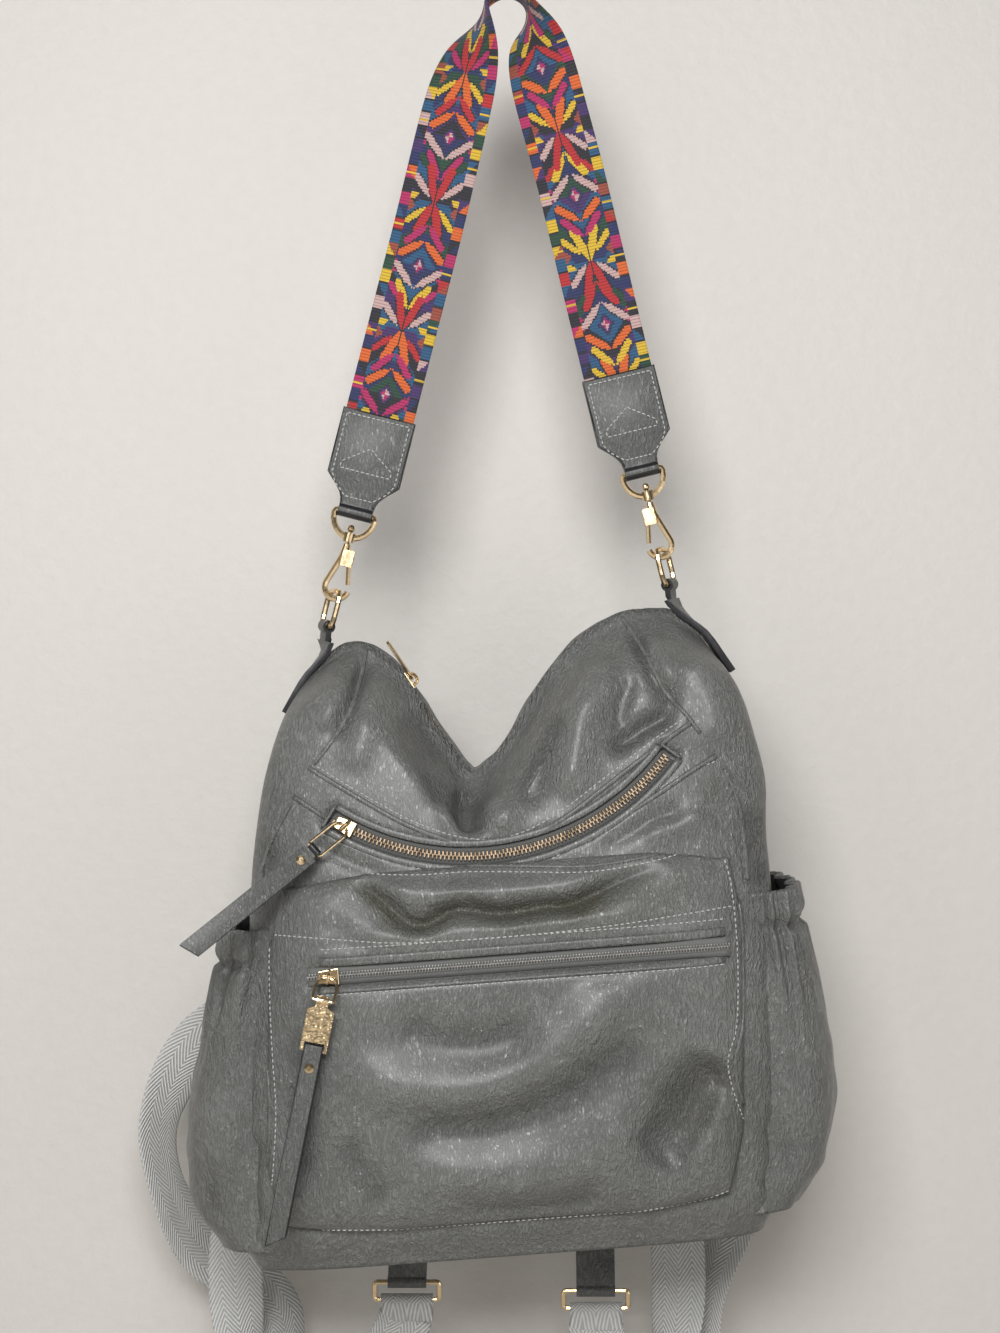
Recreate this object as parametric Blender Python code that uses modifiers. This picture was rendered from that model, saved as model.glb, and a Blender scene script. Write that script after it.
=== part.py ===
"""Convertible backpack: a slouched soft bag with zips, clip-on shoulder strap and two backpack straps.

Metres, +Z up, the front faces -Y. The origin is the hang point under the shoulder strap's top bend.
"""
import math

import bmesh
import bpy
from mathutils import Matrix, Vector

MM = 0.001
GAP = 0.3 * MM  # Between pieces that touch
SEAT_GAP = 0.4 * MM  # Between the soft bag and what is sewn on it

# The soft bag, in its own frame: X across, Z up from the floor
BAG_FLOOR = -676 * MM
BAG_LEAN = 0.075  # Rise of the bag for each metre to the right
BAG_CENTRE = 2 * MM
CORNER_POWER = 6
BAG_HALF_WIDTH = (
    (0, 134 * MM), (10 * MM, 141 * MM), (30 * MM, 144 * MM), (100 * MM, 141 * MM), (200 * MM, 137 * MM),
    (235 * MM, 135 * MM), (255 * MM, 131 * MM), (280 * MM, 125 * MM), (295 * MM, 118 * MM),
    (310 * MM, 108 * MM), (328 * MM, 95 * MM),
)
BAG_FRONT = (
    (0, 50 * MM), (10 * MM, 60 * MM), (30 * MM, 64 * MM), (100 * MM, 66 * MM), (200 * MM, 58.5 * MM),
    (250 * MM, 50.3 * MM), (328 * MM, 37.5 * MM),
)
BAG_BACK = (
    (0, 50 * MM), (10 * MM, 58 * MM), (30 * MM, 60 * MM), (100 * MM, 58 * MM), (200 * MM, 52 * MM),
    (250 * MM, 44 * MM), (328 * MM, 32 * MM),
)
TOP_PINCH = ((0, 0.24), (8 * MM, 0.5), (18 * MM, 0.82), (28 * MM, 1))
# The top edge sags to a V: height against share of the half width
BAG_TOP = (
    (-1, 306 * MM), (-0.95, 321 * MM), (-0.8, 322 * MM), (-0.588, 309 * MM), (-0.454, 293.6 * MM),
    (-0.309, 271 * MM), (-0.156, 242 * MM), (0, 262 * MM), (0.156, 294 * MM), (0.309, 311 * MM), (0.454, 320 * MM),
    (0.64, 328 * MM), (0.92, 327 * MM), (1, 313 * MM),
)
BAG_COLUMNS = 20
FLOOR_ROWS = (0, 10 * MM, 30 * MM)
SIDE_ROWS = (0.25, 0.5, 0.75, 1)
TOP_ROWS = (18 * MM, 8 * MM, 0)
TOP_ROLL = 28 * MM

# The patch pocket on the front
POCKET_LEFT = -123 * MM
POCKET_RIGHT = 121 * MM
POCKET_LOW = 22 * MM
POCKET_HIGH = 204 * MM
POCKET_EDGE = 2.5 * MM
POCKET_BULGE = 10.5 * MM
POCKET_PANEL = 0.42  # Share of the bulge that is left at the top of the panel over the zip
POCKET_ROOT = 15 * MM  # How far its blank reaches into the bag before the seat is cut

# The side pockets
SIDE_POCKET_LOW = 12 * MM
SIDE_POCKET_HIGH = 178 * MM
SIDE_POCKET_DEPTH = 52 * MM
SIDE_POCKET_WALL = 3 * MM
SIDE_POCKET_REACH = ((12 * MM, 12 * MM), (30 * MM, 25 * MM), (60 * MM, 32 * MM), (95 * MM, 31 * MM), (130 * MM, 25 * MM),
                     (160 * MM, 17 * MM), (178 * MM, 13.5 * MM))
SIDE_POCKET_MOUTH = 55 * MM  # Depth of the open mouth
SIDE_POCKET_PLEATS = 6
SIDE_POCKET_GATHER = 1.2 * MM
SIDE_POCKET_ROWS = 7
SIDE_POCKET_COLUMNS = 25

# Zips
ZIP_TAPE_WIDTH = 9.4 * MM
ZIP_TAPE = 0.8 * MM
ZIP_TEETH_WIDTH = 5 * MM
ZIP_TEETH = 1.4 * MM
ZIP_CHANNEL = 13 * MM
ZIP_ARC_X = -22 * MM
ZIP_ARC_RADIUS = 132 * MM
ZIP_OVER_POCKET = 3.65 * MM
ZIP_ARC_Z = BAG_FLOOR + POCKET_HIGH + BAG_LEAN * ZIP_ARC_X + ZIP_OVER_POCKET + ZIP_ARC_RADIUS
ZIP_ARC_START = math.radians(-31)
ZIP_ARC_END = math.radians(53)
ZIP_SLIDER_START = math.radians(-28)
ZIP_ARC_PITCH = 5 * MM
ZIP_ARC_SINK = 3 * MM  # Channel floor behind the front
POCKET_ZIP_HEIGHT = 155 * MM
POCKET_ZIP_START = -102 * MM
POCKET_ZIP_LENGTH = 216 * MM
POCKET_ZIP_FACE = 69.5 * MM
POCKET_ZIP_PITCH = 7 * MM
POCKET_SLIDER_START = 11 * MM
TOP_ZIP_PITCH = 9 * MM
TOP_ZIP_LIFT = 0.9 * MM
TOP_ZIP_SHARE = 0.85  # Of the half width, at each end

SLIDER_LENGTH = 10.5 * MM
SLIDER_WIDTH = 8.6 * MM
SLIDER_TAIL = 0.74
SLIDER_PLATE = 1.4 * MM
SLIDER_CLEAR = 0.4 * MM
CROWN_WIRE = 0.9 * MM
CROWN_HALF = 3.2 * MM
CROWN_RISE = 4.3 * MM

# Pulls
PULL_WIRE = 0.8 * MM
FRONT_PULL_TURN = math.radians(221.4)
FRONT_PULL_LIFT = math.radians(18)  # Keeps the strip off the front pocket
FRONT_LOOP_LENGTH = 21 * MM
FRONT_LOOP_WIDTH = 9 * MM
FRONT_STRAP_LENGTH = 84 * MM
POCKET_PULL_TURN = math.radians(259)
POCKET_BAIL_LENGTH = 13.5 * MM
POCKET_BAIL_WIDTH = 11 * MM
POCKET_BAIL_LIFT = math.radians(38)
POCKET_PLATE_LIFT = math.radians(2)
PLATE_WIDTH = 13.7 * MM
PLATE_LENGTH = 25.9 * MM
PLATE_THICKNESS = 2 * MM
PLATE_BAR = 1.8 * MM
PLATE_SLOT = 2.8 * MM
POCKET_STRAP_LENGTH = 100 * MM
PULL_STRAP_WIDTH = 10.3 * MM
PULL_STRAP_PLY = 1.4 * MM
PULL_ROLL_WALL = 1.2 * MM
RIVET_SHANK = 1.2 * MM
RIVET_HEAD = 2.5 * MM
RIVET_RISE = 0.9 * MM
RIVET_SETBACK = 9 * MM
TOP_PULL_LENGTH = 24 * MM

# Shoulder strap and its end fittings
STRAP_WIDTH = 38 * MM
STRAP_THICKNESS = 1.6 * MM
TAB_WIDTH = 40 * MM
TAB_STRAIGHT = 36 * MM
TAB_NECK = 18.6 * MM
TAB_THICKNESS = 5.2 * MM
TAB_POCKET = 26 * MM
TAB_LENGTH = 54.5 * MM
D_WIRE = 1.75 * MM
D_WIDTH = 22.5 * MM
D_DROP = 14 * MM
D_CORNER = 2.2 * MM
RING_SQUARE = 0.5  # Under 1 squares the oval ring
ROLL_CLEAR = 0.4 * MM
ROLL_WALL = 1.5 * MM
BARREL_RADIUS = 3.2 * MM
BARREL_HALF = 2.5 * MM
STEM_RADIUS = 1.2 * MM
BALL_RADIUS = 2.2 * MM
HOOK_WIRE = 1.75 * MM
HOOK_LENGTH = 32 * MM
HOOK_WIDTH = 16.4 * MM
GATE_WIRE = 1.4 * MM
GATE_PIN = 0.7 * MM
GATE_EYE = 1.8 * MM
GATE_TOP_X = 3.2 * MM
GATE_TOP_DROP = 8 * MM
GATE_LENGTH = 13.6 * MM
RING_WIRE = 1.6 * MM
RING_HALF_HEIGHT = 9.9 * MM
RING_HALF_WIDTH = 8.6 * MM
RING_TURN = math.radians(25)
RING_STEPS = 20
LINK_PLAY = 0.9 * MM
SIDE_TAB_WIDTH = 20 * MM
SIDE_TAB_THICKNESS = 3.2 * MM
SIDE_TAB_DROP = 47 * MM

# Backpack straps and their fittings
WEB_WIDTH = 31 * MM
WEB_THICKNESS = 1.5 * MM
ANCHOR_WIDTH = 22 * MM
ANCHOR_THICKNESS = 3.2 * MM
ANCHOR_BACK = 55 * MM  # In the seam between the base and the back
ANCHOR_ROOT = 9 * MM
BASE_RING_WIRE = 1.5 * MM
BASE_RING_WIDTH = 40 * MM
BASE_RING_HEIGHT = 13 * MM
PATCH_WIDTH = 42 * MM
PATCH_HEIGHT = 30 * MM
PATCH_THICKNESS = 2.4 * MM

LEATHER = (0.17, 0.18, 0.175)
LEATHER_DARK = (0.13, 0.135, 0.132)
GOLD = (0.62, 0.42, 0.18)
WEBBING = (0.32, 0.33, 0.33)
PATTERN = (0.12, 0.13, 0.28)

parts = None
cutters = None


def collection(name):
    made = bpy.data.collections.new(name)
    bpy.context.scene.collection.children.link(made)
    return made


def material(name, colour, roughness, metallic=0.0):
    made = bpy.data.materials.get(name)
    if made is None:
        made = bpy.data.materials.new(name)
        made.use_nodes = True
        shader = made.node_tree.nodes["Principled BSDF"]
        shader.inputs["Base Color"].default_value = (*colour, 1)
        shader.inputs["Roughness"].default_value = roughness
        shader.inputs["Metallic"].default_value = metallic
    return made


def leather():
    return material("grey_leather", LEATHER, 0.5)


def metal():
    return material("gold_metal", GOLD, 0.25, 1.0)


def finish(name, mesh, finish_material, place=None, smooth=40):
    """Adds the mesh as one sub-part, with its place baked in."""
    if place is not None:
        mesh.transform(place)
    mesh.materials.clear()
    mesh.materials.append(finish_material)
    mesh.shade_smooth()
    mesh.set_sharp_from_angle(angle=math.radians(smooth))
    made = bpy.data.objects.new(name, mesh)
    parts.objects.link(made)
    return made


def as_cutter(made):
    if made.name in parts.objects:
        parts.objects.unlink(made)
    cutters.objects.link(made)
    made.hide_render = True
    made.display_type = "WIRE"
    return made


def combine(target, other, operation):
    modifier = target.modifiers.new(operation.title(), "BOOLEAN")
    modifier.operation = operation
    modifier.solver = "EXACT"
    modifier.object = as_cutter(other)
    return target


def lookup(table, at):
    """The table's value at a place, straight between its points."""
    if at <= table[0][0]:
        return table[0][1]
    for (low, first), (high, second) in zip(table, table[1:]):
        if at <= high:
            return first + (second - first) * (at - low) / (high - low)
    return table[-1][1]


def mesh_from(name, points, faces):
    made = bpy.data.meshes.new(name)
    made.from_pydata([tuple(point) for point in points], [], faces)
    shape = bmesh.new()
    shape.from_mesh(made)
    bmesh.ops.recalc_face_normals(shape, faces=shape.faces)
    shape.to_mesh(made)
    shape.free()
    return made


def loft_mesh(name, rings):
    """A closed solid through rings of equally many points, with flat ends."""
    count = len(rings[0])
    points = [point for ring in rings for point in ring]
    faces = [tuple(range(count)), tuple(range(len(points) - count, len(points)))]
    for row in range(len(rings) - 1):
        for at in range(count):
            after = (at + 1) % count
            faces.append((row * count + at, row * count + after, (row + 1) * count + after, (row + 1) * count + at))
    return mesh_from(name, points, faces)


def smooth_route(points, spacing):
    """A smooth curve through points of any length, read about every spacing."""
    ends = [tuple(2 * a - b for a, b in zip(points[0], points[1]))]
    ends += list(points)
    ends.append(tuple(2 * a - b for a, b in zip(points[-1], points[-2])))
    route = []
    for before, start, end, after in zip(ends, ends[1:], ends[2:], ends[3:]):
        steps = max(1, round(math.dist(start[:3], end[:3]) / spacing))
        for step in range(steps):
            t = step / steps
            weights = (-t + 2 * t**2 - t**3, 2 - 5 * t**2 + 3 * t**3, t + 4 * t**2 - 3 * t**3, t**3 - t**2)
            corners = (before, start, end, after)
            route.append(tuple(sum(w * c[i] for w, c in zip(weights, corners)) / 2 for i in range(len(start))))
    route.append(points[-1])
    return route


def band_mesh(name, route, width, thickness):
    """A flat band along a route of (x, y, z, turn): at turn 0 its width lies across in XZ, at 90 degrees along Y."""
    rings = []
    for at, (x, y, z, turn) in enumerate(route):
        before = Vector(route[max(at - 1, 0)][:3])
        after = Vector(route[min(at + 1, len(route) - 1)][:3])
        along = (after - before).normalized()
        across = along.cross(Vector((0, 1, 0))).normalized()
        deep = across.cross(along).normalized()
        wide = across * math.cos(turn) + deep * math.sin(turn)
        flat = wide.cross(along)
        centre = Vector((x, y, z))
        corners = ((-1, -1), (1, -1), (1, 1), (-1, 1))
        rings.append([centre + wide * a * width / 2 + flat * b * thickness / 2 for a, b in corners])
    return loft_mesh(name, rings)


def wire_mesh(name, points, radius, cyclic=False, sides=2):
    curve = bpy.data.curves.new(name, "CURVE")
    curve.dimensions = "3D"
    curve.bevel_depth = radius
    curve.bevel_resolution = sides
    curve.use_fill_caps = True
    spline = curve.splines.new("POLY")
    spline.points.add(len(points) - 1)
    for place, point in zip(spline.points, points):
        place.co = (*point, 1)
    spline.use_cyclic_u = cyclic
    holder = bpy.data.objects.new(name, curve)
    bpy.context.scene.collection.objects.link(holder)
    bpy.context.view_layer.update()
    made = bpy.data.meshes.new_from_object(holder.evaluated_get(bpy.context.evaluated_depsgraph_get()))
    bpy.data.objects.remove(holder)
    shape = bmesh.new()
    shape.from_mesh(made)
    bmesh.ops.remove_doubles(shape, verts=shape.verts, dist=0.00001)
    bmesh.ops.recalc_face_normals(shape, faces=shape.faces)
    shape.to_mesh(made)
    shape.free()
    return made


def box_mesh(name, low, high):
    shape = bmesh.new()
    bmesh.ops.create_cube(shape, size=1)
    size = [b - a for a, b in zip(low, high)]
    bmesh.ops.scale(shape, vec=size, verts=shape.verts)
    bmesh.ops.translate(shape, vec=[(a + b) / 2 for a, b in zip(low, high)], verts=shape.verts)
    made = bpy.data.meshes.new(name)
    shape.to_mesh(made)
    shape.free()
    return made


def rod_mesh(name, start, end, radius, sides=16, end_radius=None):
    shape = bmesh.new()
    start, end = Vector(start), Vector(end)
    far = radius if end_radius is None else end_radius
    bmesh.ops.create_cone(
        shape, cap_ends=True, segments=sides, radius1=radius, radius2=far, depth=(end - start).length
    )
    turn = Vector((0, 0, 1)).rotation_difference(end - start).to_matrix().to_4x4()
    bmesh.ops.transform(shape, matrix=Matrix.Translation((start + end) / 2) @ turn, verts=shape.verts)
    made = bpy.data.meshes.new(name)
    shape.to_mesh(made)
    shape.free()
    return made


def ball_mesh(name, centre, radius):
    shape = bmesh.new()
    bmesh.ops.create_uvsphere(shape, u_segments=14, v_segments=8, radius=radius)
    bmesh.ops.translate(shape, vec=centre, verts=shape.verts)
    made = bpy.data.meshes.new(name)
    shape.to_mesh(made)
    shape.free()
    return made


def frame_matrix(origin, along, outward):
    """X along, Z outward, at the origin."""
    along = Vector(along).normalized()
    outward = Vector(outward).normalized()
    across = outward.cross(along).normalized()
    turn = Matrix((along, across, outward)).transposed().to_4x4()
    return Matrix.Translation(origin) @ turn


def pivot(name, place, pieces, parent=None):
    """An empty on a joint's axis that carries the pieces."""
    empty = bpy.data.objects.new(name, None)
    empty.empty_display_size = 10 * MM
    bpy.context.scene.collection.objects.link(empty)
    empty.matrix_world = Matrix.Translation(place)
    if parent is not None:
        empty.parent = parent
        empty.matrix_parent_inverse = parent.matrix_world.inverted()
    bpy.context.view_layer.update()
    for piece in pieces:
        piece.parent = empty
        piece.matrix_parent_inverse = empty.matrix_world.inverted()
    return empty


# The soft bag


def bag_world(x, y, z):
    return Vector((x, y, BAG_FLOOR + z + BAG_LEAN * x))


def bag_depth(z, side):
    """Depth of the bag's front or back from its middle plane, at a height."""
    return side * lookup(BAG_FRONT if side < 0 else BAG_BACK, z)


def bag_rows(top):
    side_low = FLOOR_ROWS[-1]
    side_rows = [side_low + (top - TOP_ROLL - side_low) * share for share in SIDE_ROWS]
    return [*FLOOR_ROWS, *side_rows, *(top - drop for drop in TOP_ROWS)]


def bag_shares():
    """Where the bag's columns stand across it, closer together near its ends."""
    return [math.sin(math.pi / 2 * (2 * at / BAG_COLUMNS - 1)) for at in range(BAG_COLUMNS + 1)]


def bag_mesh(name, grow=0.0):
    """The bag as a loft of rounded boxes whose top edge sags; grow makes the cutter that seats what is sewn on it."""
    shares = bag_shares()
    around = [(share, -1) for share in shares] + [(share, 1) for share in shares[-2:0:-1]]
    rows = [bag_rows(lookup(BAG_TOP, share)) for share, _ in around]
    points = []
    for level in range(len(rows[0])):
        for (share, side), heights in zip(around, rows):
            z = heights[level]
            top = heights[-1]
            bow = max(0.0, 1 - abs(share) ** CORNER_POWER) ** (1 / CORNER_POWER)
            x = BAG_CENTRE + share * (lookup(BAG_HALF_WIDTH, z) + grow)
            y = bow * (bag_depth(z, side) * lookup(TOP_PINCH, top - z) + side * grow)
            lift = -grow if level == 0 else grow if level == len(rows[0]) - 1 else 0
            points.append(bag_world(x, y, z + lift))
    count = len(around)
    faces = []
    for level in range(len(rows[0]) - 1):
        for at in range(count):
            after = (at + 1) % count
            low, high = level * count, (level + 1) * count
            faces.append((low + at, low + after, high + after))
            faces.append((low + at, high + after, high + at))
    floor = tuple(reversed(range(count)))
    faces.append(floor)
    top = (len(rows[0]) - 1) * count
    for at in range(BAG_COLUMNS):
        back = (count - at) % count
        next_back = (count - at - 1) % count
        for corners in ((at, at + 1, next_back), (at, next_back, back)):
            if len(set(corners)) == 3:
                faces.append(tuple(top + corner for corner in corners))
    return mesh_from(name, points, faces)


def seat(made):
    """Trims what is sewn on the bag to its surface."""
    cutter = finish(made.name + "_seat", bag_mesh(made.name + "_seat", SEAT_GAP), leather())
    return combine(made, cutter, "DIFFERENCE")


def front_zip_frame():
    """Centre of the zip's arc: X to the right in the zip's plane, Y up in it, Z outward."""
    (low, low_depth), (high, high_depth) = BAG_FRONT[4:6]
    slope = (low_depth - high_depth) / (high - low)
    height = ZIP_ARC_Z - BAG_FLOOR - BAG_LEAN * ZIP_ARC_X
    y = -(low_depth - slope * (height - low)) + ZIP_ARC_SINK
    outward = Vector((-slope * BAG_LEAN, -1, slope)).normalized()
    up = (Vector((0, 0, 1)) - outward * outward.z).normalized()
    right = up.cross(outward)
    turn = Matrix((right, up, outward)).transposed().to_4x4()
    return Matrix.Translation((ZIP_ARC_X, y, ZIP_ARC_Z)) @ turn


def on_arc(place, angle, across, height):
    """A point of the arc's frame: angle from straight down, across towards the outside."""
    radius = ZIP_ARC_RADIUS + across
    return place @ Vector((radius * math.sin(angle), -radius * math.cos(angle), height))


def pocket_zip_frame():
    """Start of the pocket's zip: X along it, Y up, Z outward."""
    along = Vector((1, 0, BAG_LEAN))
    start = bag_world(POCKET_ZIP_START, -POCKET_ZIP_FACE, POCKET_ZIP_HEIGHT)
    return frame_matrix(start, along, (0, -1, 0))


def chain_mesh(name, length, pitch, place):
    """A zip's tape with a row of teeth; place(s, across, height) bends it."""
    count = round(length / pitch)
    lanes = (-ZIP_TAPE_WIDTH / 2, -ZIP_TEETH_WIDTH / 2, ZIP_TEETH_WIDTH / 2, ZIP_TAPE_WIDTH / 2)
    shape = bmesh.new()
    grid = [
        [shape.verts.new((at * length / (2 * count + 1), lane, GAP + ZIP_TAPE)) for lane in lanes]
        for at in range(2 * count + 2)
    ]
    middle = []
    top = []
    for at in range(2 * count + 1):
        for lane in range(3):
            corners = (grid[at][lane], grid[at + 1][lane], grid[at + 1][lane + 1], grid[at][lane + 1])
            face = shape.faces.new(corners)
            top.append(face)
            if lane == 1 and at % 2 == 1:
                middle.append(face)
    teeth = bmesh.ops.extrude_discrete_faces(shape, faces=middle)["faces"]
    rim = {vert for face in teeth for vert in face.verts}
    bmesh.ops.translate(shape, vec=(0, 0, ZIP_TEETH), verts=list(rim))
    low = [shape.verts.new((row[side].co.x, lanes[side], GAP)) for row in grid for side in (0, 3)]
    left = low[0::2]
    right = low[1::2]
    for at in range(2 * count + 1):
        shape.faces.new((left[at], left[at + 1], right[at + 1], right[at]))
        shape.faces.new((grid[at][0], grid[at + 1][0], left[at + 1], left[at]))
        shape.faces.new((grid[at][3], grid[at + 1][3], right[at + 1], right[at]))
    shape.faces.new([*grid[0], right[0], left[0]])
    shape.faces.new([*grid[-1], right[-1], left[-1]])
    bmesh.ops.remove_doubles(shape, verts=shape.verts, dist=0.000001)
    bmesh.ops.recalc_face_normals(shape, faces=shape.faces)
    for vert in shape.verts:
        vert.co = place(vert.co.x, vert.co.y, vert.co.z)
    made = bpy.data.meshes.new(name)
    shape.to_mesh(made)
    shape.free()
    return made


def slider_height():
    return GAP + ZIP_TAPE + ZIP_TEETH + SLIDER_CLEAR + SLIDER_PLATE


def pull_height():
    """Middle of the pull's wire, under the slider's crown."""
    return slider_height() + GAP + PULL_WIRE


def slider(name, place, crown_turn):
    """A zip slider that straddles the teeth, with a crown turned to its pull."""
    top = slider_height()
    low = GAP + ZIP_TAPE + SLIDER_CLEAR
    half = SLIDER_LENGTH / 2
    body_mesh = box_mesh(name, (-half, -SLIDER_WIDTH / 2, low), (half, SLIDER_WIDTH / 2, top))
    for vertex in body_mesh.vertices:
        if vertex.co.x < 0:
            vertex.co.y *= SLIDER_TAIL
    made = finish(name, body_mesh, metal(), place)
    bevel = made.modifiers.new("Edges", "BEVEL")
    bevel.width = 0.5 * MM
    bevel.segments = 2
    bevel.limit_method = "ANGLE"
    clear = ZIP_TEETH_WIDTH / 2 + SLIDER_CLEAR
    ceiling = top - SLIDER_PLATE
    groove = box_mesh(name + "_groove", (-2 * half, -clear, low - MM), (2 * half, clear, ceiling))
    combine(made, finish(name + "_groove", groove, metal(), place), "DIFFERENCE")
    arch = []
    for at in range(9):
        angle = math.pi * at / 8
        out = math.cos(angle) * CROWN_HALF
        rise = math.sin(angle) ** 0.6 * (CROWN_RISE - CROWN_WIRE) if 0 < at < 8 else -SLIDER_PLATE / 2
        arch.append((out * math.cos(crown_turn), out * math.sin(crown_turn), top + rise))
    crown = finish(name + "_crown", wire_mesh(name + "_crown", arch, CROWN_WIRE), metal(), place)
    return combine(made, crown, "UNION")


def pull_loop(length, width, steps=6):
    """A closed loop of points in XY: round where it hangs at x = 0, square at its far bar."""
    radius = width / 2
    corner = PULL_WIRE * 1.5
    points = []
    for turn in (-1, 0):
        for at in range(3):
            angle = math.pi / 2 * (turn + at / 2)
            side = -1 if turn < 0 else 1
            x = length - corner + corner * math.cos(angle)
            points.append((x, side * (radius - corner) + corner * math.sin(angle), 0))
    for at in range(steps + 1):
        angle = math.pi / 2 + math.pi * at / steps
        points.append((radius + radius * math.cos(angle), radius * math.sin(angle), 0))
    return points


def strap_pull(name, place, start, length, rivet_name):
    """A two-ply leather strip folded over a wire across X at start, with its rivet; it ends at an angle."""
    roll = PULL_WIRE + ROLL_CLEAR + PULL_ROLL_WALL
    half = PULL_STRAP_WIDTH / 2
    strip = box_mesh(name, (start, -half, -PULL_STRAP_PLY), (start + length, half, PULL_STRAP_PLY))
    for vertex in strip.vertices:
        if vertex.co.x > start + length / 2 and vertex.co.y > 0:
            vertex.co.x -= PULL_STRAP_WIDTH * 0.35
    made = finish(name, strip, leather(), place)
    fold_half = min(half, FRONT_LOOP_WIDTH / 2 - PULL_WIRE - ROLL_CLEAR)
    neck = box_mesh(name + "_slots", (start - roll, fold_half, -roll), (start + roll + MM, 2 * half, roll))
    other = box_mesh(name + "_slot_b", (start - roll, -2 * half, -roll), (start + roll + MM, -fold_half, roll))
    combine(made, finish(name + "_slot_a", neck, leather(), place), "DIFFERENCE")
    combine(made, finish(name + "_slot_b", other, leather(), place), "DIFFERENCE")
    fold = rod_mesh(name + "_fold", (start, -fold_half, 0), (start, fold_half, 0), roll)
    combine(made, finish(name + "_fold", fold, leather(), place), "UNION")
    bore = rod_mesh(name + "_bore", (start, -2 * half, 0), (start, 2 * half, 0), PULL_WIRE + ROLL_CLEAR, 12)
    combine(made, finish(name + "_bore", bore, leather(), place), "DIFFERENCE")
    at = start + RIVET_SETBACK
    deep = PULL_STRAP_PLY + GAP
    hole = rod_mesh(name + "_hole", (at, 0, -2 * deep), (at, 0, 2 * deep), RIVET_SHANK + GAP, 12)
    combine(made, finish(name + "_hole", hole, leather(), place), "DIFFERENCE")
    shank = rod_mesh(rivet_name, (at, 0, -deep - RIVET_RISE / 2), (at, 0, deep + RIVET_RISE / 2), RIVET_SHANK, 12)
    rivet = finish(rivet_name, shank, metal(), place)
    for side in (-1, 1):
        head = rod_mesh(
            rivet_name + "_head", (at, 0, side * deep), (at, 0, side * (deep + RIVET_RISE)), RIVET_HEAD, 16, RIVET_SHANK
        )
        combine(rivet, finish(rivet_name + "_head", head, metal(), place), "UNION")
    return made, rivet


def build_bag():
    bag = finish("bag_body", bag_mesh("bag_body"), leather(), smooth=60)
    place = front_zip_frame()
    turns = 36
    low, high = ZIP_ARC_START - 0.02, ZIP_ARC_END + 0.02
    channel = []
    for at in range(turns + 1):
        angle = low + (high - low) * at / turns
        corners = ((-1, 0), (1, 0), (1, 1), (-1, 1))
        channel.append([on_arc(place, angle, a * ZIP_CHANNEL / 2, b * 40 * MM) for a, b in corners])
    combine(bag, finish("front_zip_channel", loft_mesh("front_zip_channel", channel), leather()), "DIFFERENCE")
    return bag


def build_front_pocket():
    columns, rows = 14, 12
    points = []
    for face in (0, 1):
        for row in range(rows + 1):
            v = -1 + 2 * row / rows
            for column in range(columns + 1):
                u = -1 + 2 * column / columns
                pull_in = 1 - 0.06 * (max(0.0, abs(u) + abs(v) - 1.6) / 0.4)
                x = (POCKET_LEFT + POCKET_RIGHT) / 2 + u * pull_in * (POCKET_RIGHT - POCKET_LEFT) / 2
                z = (POCKET_LOW + POCKET_HIGH) / 2 + v * pull_in * (POCKET_HIGH - POCKET_LOW) / 2
                share = (x - BAG_CENTRE) / lookup(BAG_HALF_WIDTH, z)
                bow = max(0.0, 1 - abs(share) ** CORNER_POWER) ** (1 / CORNER_POWER)
                swell = math.sqrt((1 - u**6) * (1 - v**6)) * (1 - (1 - POCKET_PANEL) * max(0.0, v - 0.3) / 0.7)
                proud = POCKET_EDGE + POCKET_BULGE * swell if face == 0 else -POCKET_ROOT
                points.append(bag_world(x, bow * bag_depth(z, -1) - proud, z))
    wide = columns + 1
    back = wide * (rows + 1)
    faces = []
    for row in range(rows):
        for column in range(columns):
            at = row * wide + column
            faces.append((at, at + 1, at + wide + 1, at + wide))
            faces.append((back + at, back + at + wide, back + at + wide + 1, back + at + 1))
    edge = [column for column in range(columns)]
    edge += [row * wide + columns for row in range(rows)]
    edge += [rows * wide + column for column in range(columns, 0, -1)]
    edge += [row * wide for row in range(rows, 0, -1)]
    for at, after in zip(edge, edge[1:] + edge[:1]):
        faces.append((at, after, back + after, back + at))
    pocket = finish("front_pocket", mesh_from("front_pocket", points, faces), leather(), smooth=60)
    seat(pocket)
    place = pocket_zip_frame()
    cut = box_mesh(
        "pocket_zip_channel", (-2 * MM, -ZIP_CHANNEL / 2, 0), (POCKET_ZIP_LENGTH + 2 * MM, ZIP_CHANNEL / 2, 40 * MM)
    )
    combine(pocket, finish("pocket_zip_channel", cut, leather(), place), "DIFFERENCE")
    return pocket


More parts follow.
